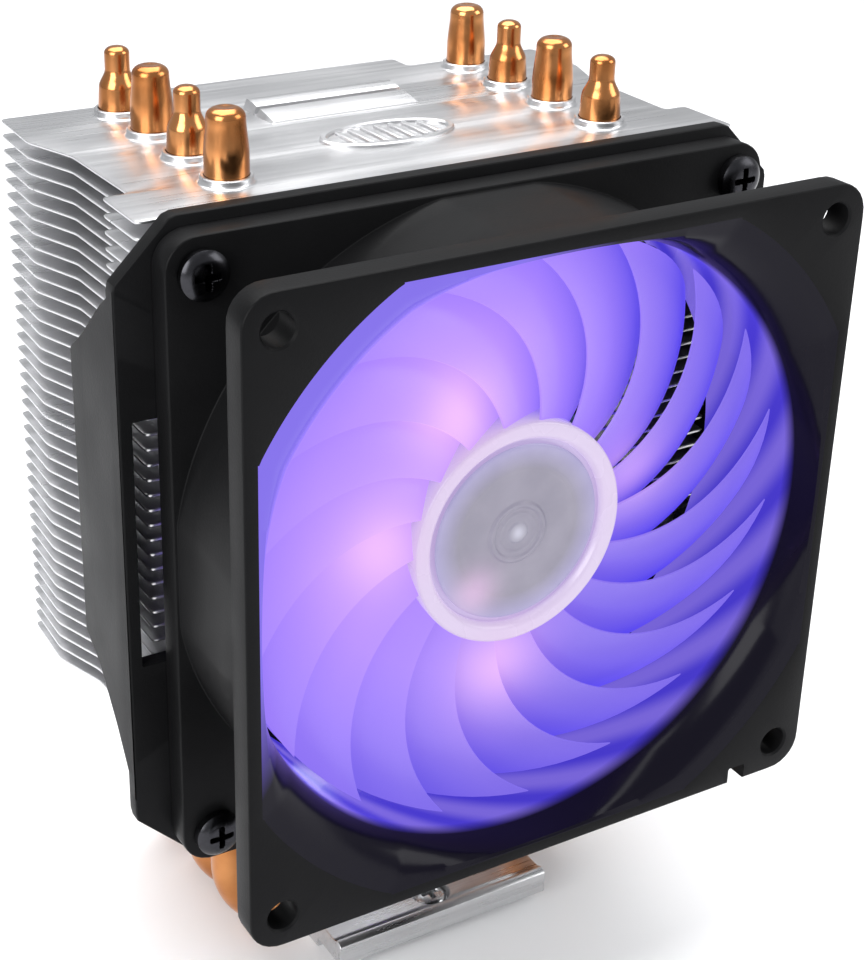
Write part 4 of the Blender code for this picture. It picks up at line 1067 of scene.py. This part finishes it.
class COOLER_OT_bracket(bpy.types.Operator):
    """Mould the clip-on bracket and set the fan's four screws"""
    bl_idname = "cooler.bracket"
    bl_label = "Bracket"

    def execute(self, context):
        front = BRACKET_LOW[1] - FAN_Y
        plastic = moulded_plastic("bracket_plastic", 1.25, 0.46)
        bracket = make_piece("clip_bracket", [bracket_plate(front, 2.5)], plastic, "cooler",
                             ["fan_bracket"], 28.0)
        slots = []
        for side in (-1, 1):
            low, high = sorted((side * 40.0, side * (BRACKET_HIGH[0] - BRACKET_WALL)))
            slots.append(block((low, BRACKET_LOW[1] - 1.0, AXIS_Z - 15.0),
                               (high, BRACKET_LOW[1] + 3.5, AXIS_Z + 21.0), 0.3))
        holes = [turned([(0.0, -1.0), (1.9, -1.0), (1.9, 4.0), (0.0, 4.0)], 32, (x, BRACKET_LOW[1], z))
                 for x, z in corner_places()]
        cut(bracket, slots + holes)
        cut(bracket, bracket_wings(front), "UNION")
        steel = plain_metal("black_steel", (0.045, 0.045, 0.05), 0.26)
        seat = FAN_Y + FAN_D - FLANGE_T - 0.3
        for index, (x, z) in enumerate(corner_places()):
            screw = screw_surface((x, seat, z), 3.3, 2.0, 1.5, 6.6, 1.8, -1)
            make_piece("dark_screw_%d" % (index + 1), [screw], steel, "cooler",
                       ["fan_screw_%d" % (index + 1)])
        return {"FINISHED"}


class COOLER_OT_rotor(bpy.types.Operator):
    """Mould the lit rotor with its hub and disc"""
    bl_idname = "cooler.rotor"
    bl_label = "Rotor"

    def execute(self, context):
        count = sizes().blade_count
        blades = [blade_surface(2 * math.pi * k / count) for k in range(count)]
        make_piece("swept_blades", blades, lit_blades(), "rotor", ["impeller"], 50.0)
        make_piece("hub_cup", [hub_surface()], lit_hub(), "rotor", ["impeller"], 40.0)
        make_piece("hub_face", [disc_surface()], lit_disc(), "rotor", ["hub_disc"], 40.0)
        return {"FINISHED"}


class COOLER_OT_motor(bpy.types.Operator):
    """Finish the motor's inner pieces and the lamps"""
    bl_idname = "cooler.motor"
    bl_label = "Motor and lamps"

    def execute(self, context):
        finishes = (
            (plain_metal("motor_steel", (0.56, 0.57, 0.58), 0.28),
             ("rotor_cup", "rotor_shaft", "shaft_clip")),
            (plain_metal("core_iron", (0.33, 0.33, 0.34), 0.45), ("stator_core",)),
            (plain_metal("coil_copper", (0.70, 0.27, 0.10), 0.34), ("coil_1", "coil_2", "coil_3", "coil_4")),
            (plain_metal("turned_brass", (0.78, 0.58, 0.26), 0.30), ("bearing_tube",)),
            (plain_metal("sintered_bronze", (0.50, 0.33, 0.18), 0.58), ("bearing_sleeve",)),
            (plain_plastic("ferrite", (0.06, 0.055, 0.05), 0.65), ("ring_magnet",)),
            (plain_plastic("white_nylon", (0.80, 0.79, 0.74), 0.5),
             ("insulator_front", "insulator_rear", "thrust_pad")),
            (plain_plastic("board_laminate", (0.03, 0.16, 0.07), 0.45), ("circuit_board",)),
            (plain_plastic("chip_resin", (0.02, 0.02, 0.02), 0.45), ("driver_chip",)),
            (plain_plastic("lamp_lens", (0.45, 0.25, 1.0), 0.3, 60.0),
             ("lamp_1", "lamp_2", "lamp_3", "lamp_4")),
        )
        for material, nodes in finishes:
            for name in nodes:
                mesh = frame["nodes"][name].data
                mesh.materials.clear()
                mesh.materials.append(material)
        return {"FINISHED"}


class COOLER_OT_stage(bpy.types.Operator):
    """Lay the pale floor, hang the soft lights and set the camera"""
    bl_idname = "cooler.stage"
    bl_label = "Studio"

    def execute(self, context):
        scene, studio = context.scene, context.scene.cooler_studio
        scene.view_settings.view_transform = "Standard"
        self.lay_floor(studio)
        self.light(scene)
        self.set_camera(scene, studio)
        return {"FINISHED"}

    def lay_floor(self, studio):
        """A round floor: rings of growing radius, r = 3 m times t squared."""
        t = np.linspace(0.0, 1.0, 12)
        a = (2 * np.pi * np.arange(64) / 64)[:, None]
        r = 3000.0 * t[None] ** 2
        under = -0.05
        grid = surface(stacked(r * np.cos(a), r * np.sin(a), under), wrap_rows=True)
        floor = bpy.data.objects.new("floor", make_mesh("floor", [grid]))
        bpy.context.scene.collection.objects.link(floor)
        paint = Paint("floor_paper", Roughness=0.7)
        marks = paint.use("fine grain", Grain_Scale=900.0, Blotch_Scale=6.0)
        paper = studio.floor_colour
        blotches = paint.spread(marks["Blotches"], 0.0, 1.0)
        paint.feed("Base Color", paint.mix(blotches, tint(paper, 0.985), paper))
        floor.data.materials.append(paint.material)

    def light(self, scene):
        """A pale surround and three soft panels: above, to the left in front, and to the right."""
        world = bpy.data.worlds.new("studio")
        scene.world = world
        world.use_nodes = True
        world.node_tree.nodes["Background"].inputs["Color"].default_value = (0.95, 0.97, 1.0, 1.0)
        world.node_tree.nodes["Background"].inputs["Strength"].default_value = 0.55
        middle = Vector((0.0, 0.0, 0.07))
        panels = (("top_panel", (0.0, 0.15, 0.75), 0.8, 9.0),
                  ("left_panel", (-0.75, -0.35, 0.45), 0.6, 6.5),
                  ("right_panel", (0.7, -0.5, 0.5), 0.5, 3.0))
        for name, place, size, power in panels:
            lamp = bpy.data.lights.new(name, "AREA")
            lamp.shape, lamp.size, lamp.energy = "SQUARE", size, power
            panel = bpy.data.objects.new(name, lamp)
            panel.location = place
            panel.rotation_euler = (middle - Vector(place)).to_track_quat("-Z", "Y").to_euler()
            scene.collection.objects.link(panel)

    def set_camera(self, scene, studio):
        az, el, roll = studio.camera_azimuth, studio.camera_elevation, studio.camera_roll
        back = Vector((math.sin(az) * math.cos(el), -math.cos(az) * math.cos(el), math.sin(el)))
        level = Vector((math.cos(az), math.sin(az), 0.0))
        rise = back.cross(level)
        right = math.cos(roll) * level + math.sin(roll) * rise
        up = back.cross(right)
        camera = bpy.data.cameras.new("camera")
        camera.lens, camera.clip_start = studio.lens, 0.01
        camera.shift_x, camera.shift_y = studio.shift
        stand = bpy.data.objects.new("camera", camera)
        turn = Matrix((right, up, back)).transposed().to_4x4()
        stand.matrix_world = Matrix.Translation(studio.camera_place) @ turn
        scene.collection.objects.link(stand)
        scene.camera = stand


OPERATORS = (COOLER_OT_stage, COOLER_OT_heat_pipes, COOLER_OT_base, COOLER_OT_fins, COOLER_OT_fan_frame,
             COOLER_OT_bracket, COOLER_OT_rotor, COOLER_OT_motor)


class COOLER_PT_panel(bpy.types.Panel):
    """The cooler's sizes, colours and pieces"""
    bl_label = "Tower cooler"
    bl_idname = "COOLER_PT_panel"
    bl_space_type = "VIEW_3D"
    bl_region_type = "UI"
    bl_category = "Cooler"

    def draw(self, context):
        scene, layout = context.scene, self.layout
        for settings in (scene.cooler_sizes, scene.cooler_colours, scene.cooler_studio):
            column = layout.column()
            for name in settings.__annotations__:
                column.prop(settings, name)
        for operator in OPERATORS:
            layout.operator(operator.bl_idname)


SETTINGS = (("cooler_sizes", CoolerSizes), ("cooler_colours", CoolerColours),
            ("cooler_studio", StudioSettings))


def register():
    for name, settings in SETTINGS:
        bpy.utils.register_class(settings)
        setattr(bpy.types.Scene, name, PointerProperty(type=settings))
    for operator in OPERATORS:
        bpy.utils.register_class(operator)
    bpy.utils.register_class(COOLER_PT_panel)


def unregister():
    bpy.utils.unregister_class(COOLER_PT_panel)
    for operator in reversed(OPERATORS):
        bpy.utils.unregister_class(operator)
    for name, settings in reversed(SETTINGS):
        delattr(bpy.types.Scene, name)
        bpy.utils.unregister_class(settings)


def main():
    register()
    bpy.ops.cooler.stage()
    bpy.ops.cooler.heat_pipes()
    bpy.ops.cooler.base()
    bpy.ops.cooler.fins()
    bpy.ops.cooler.fan_frame()
    bpy.ops.cooler.bracket()
    bpy.ops.cooler.rotor()
    bpy.ops.cooler.motor()


if __name__ == "__main__":
    main()
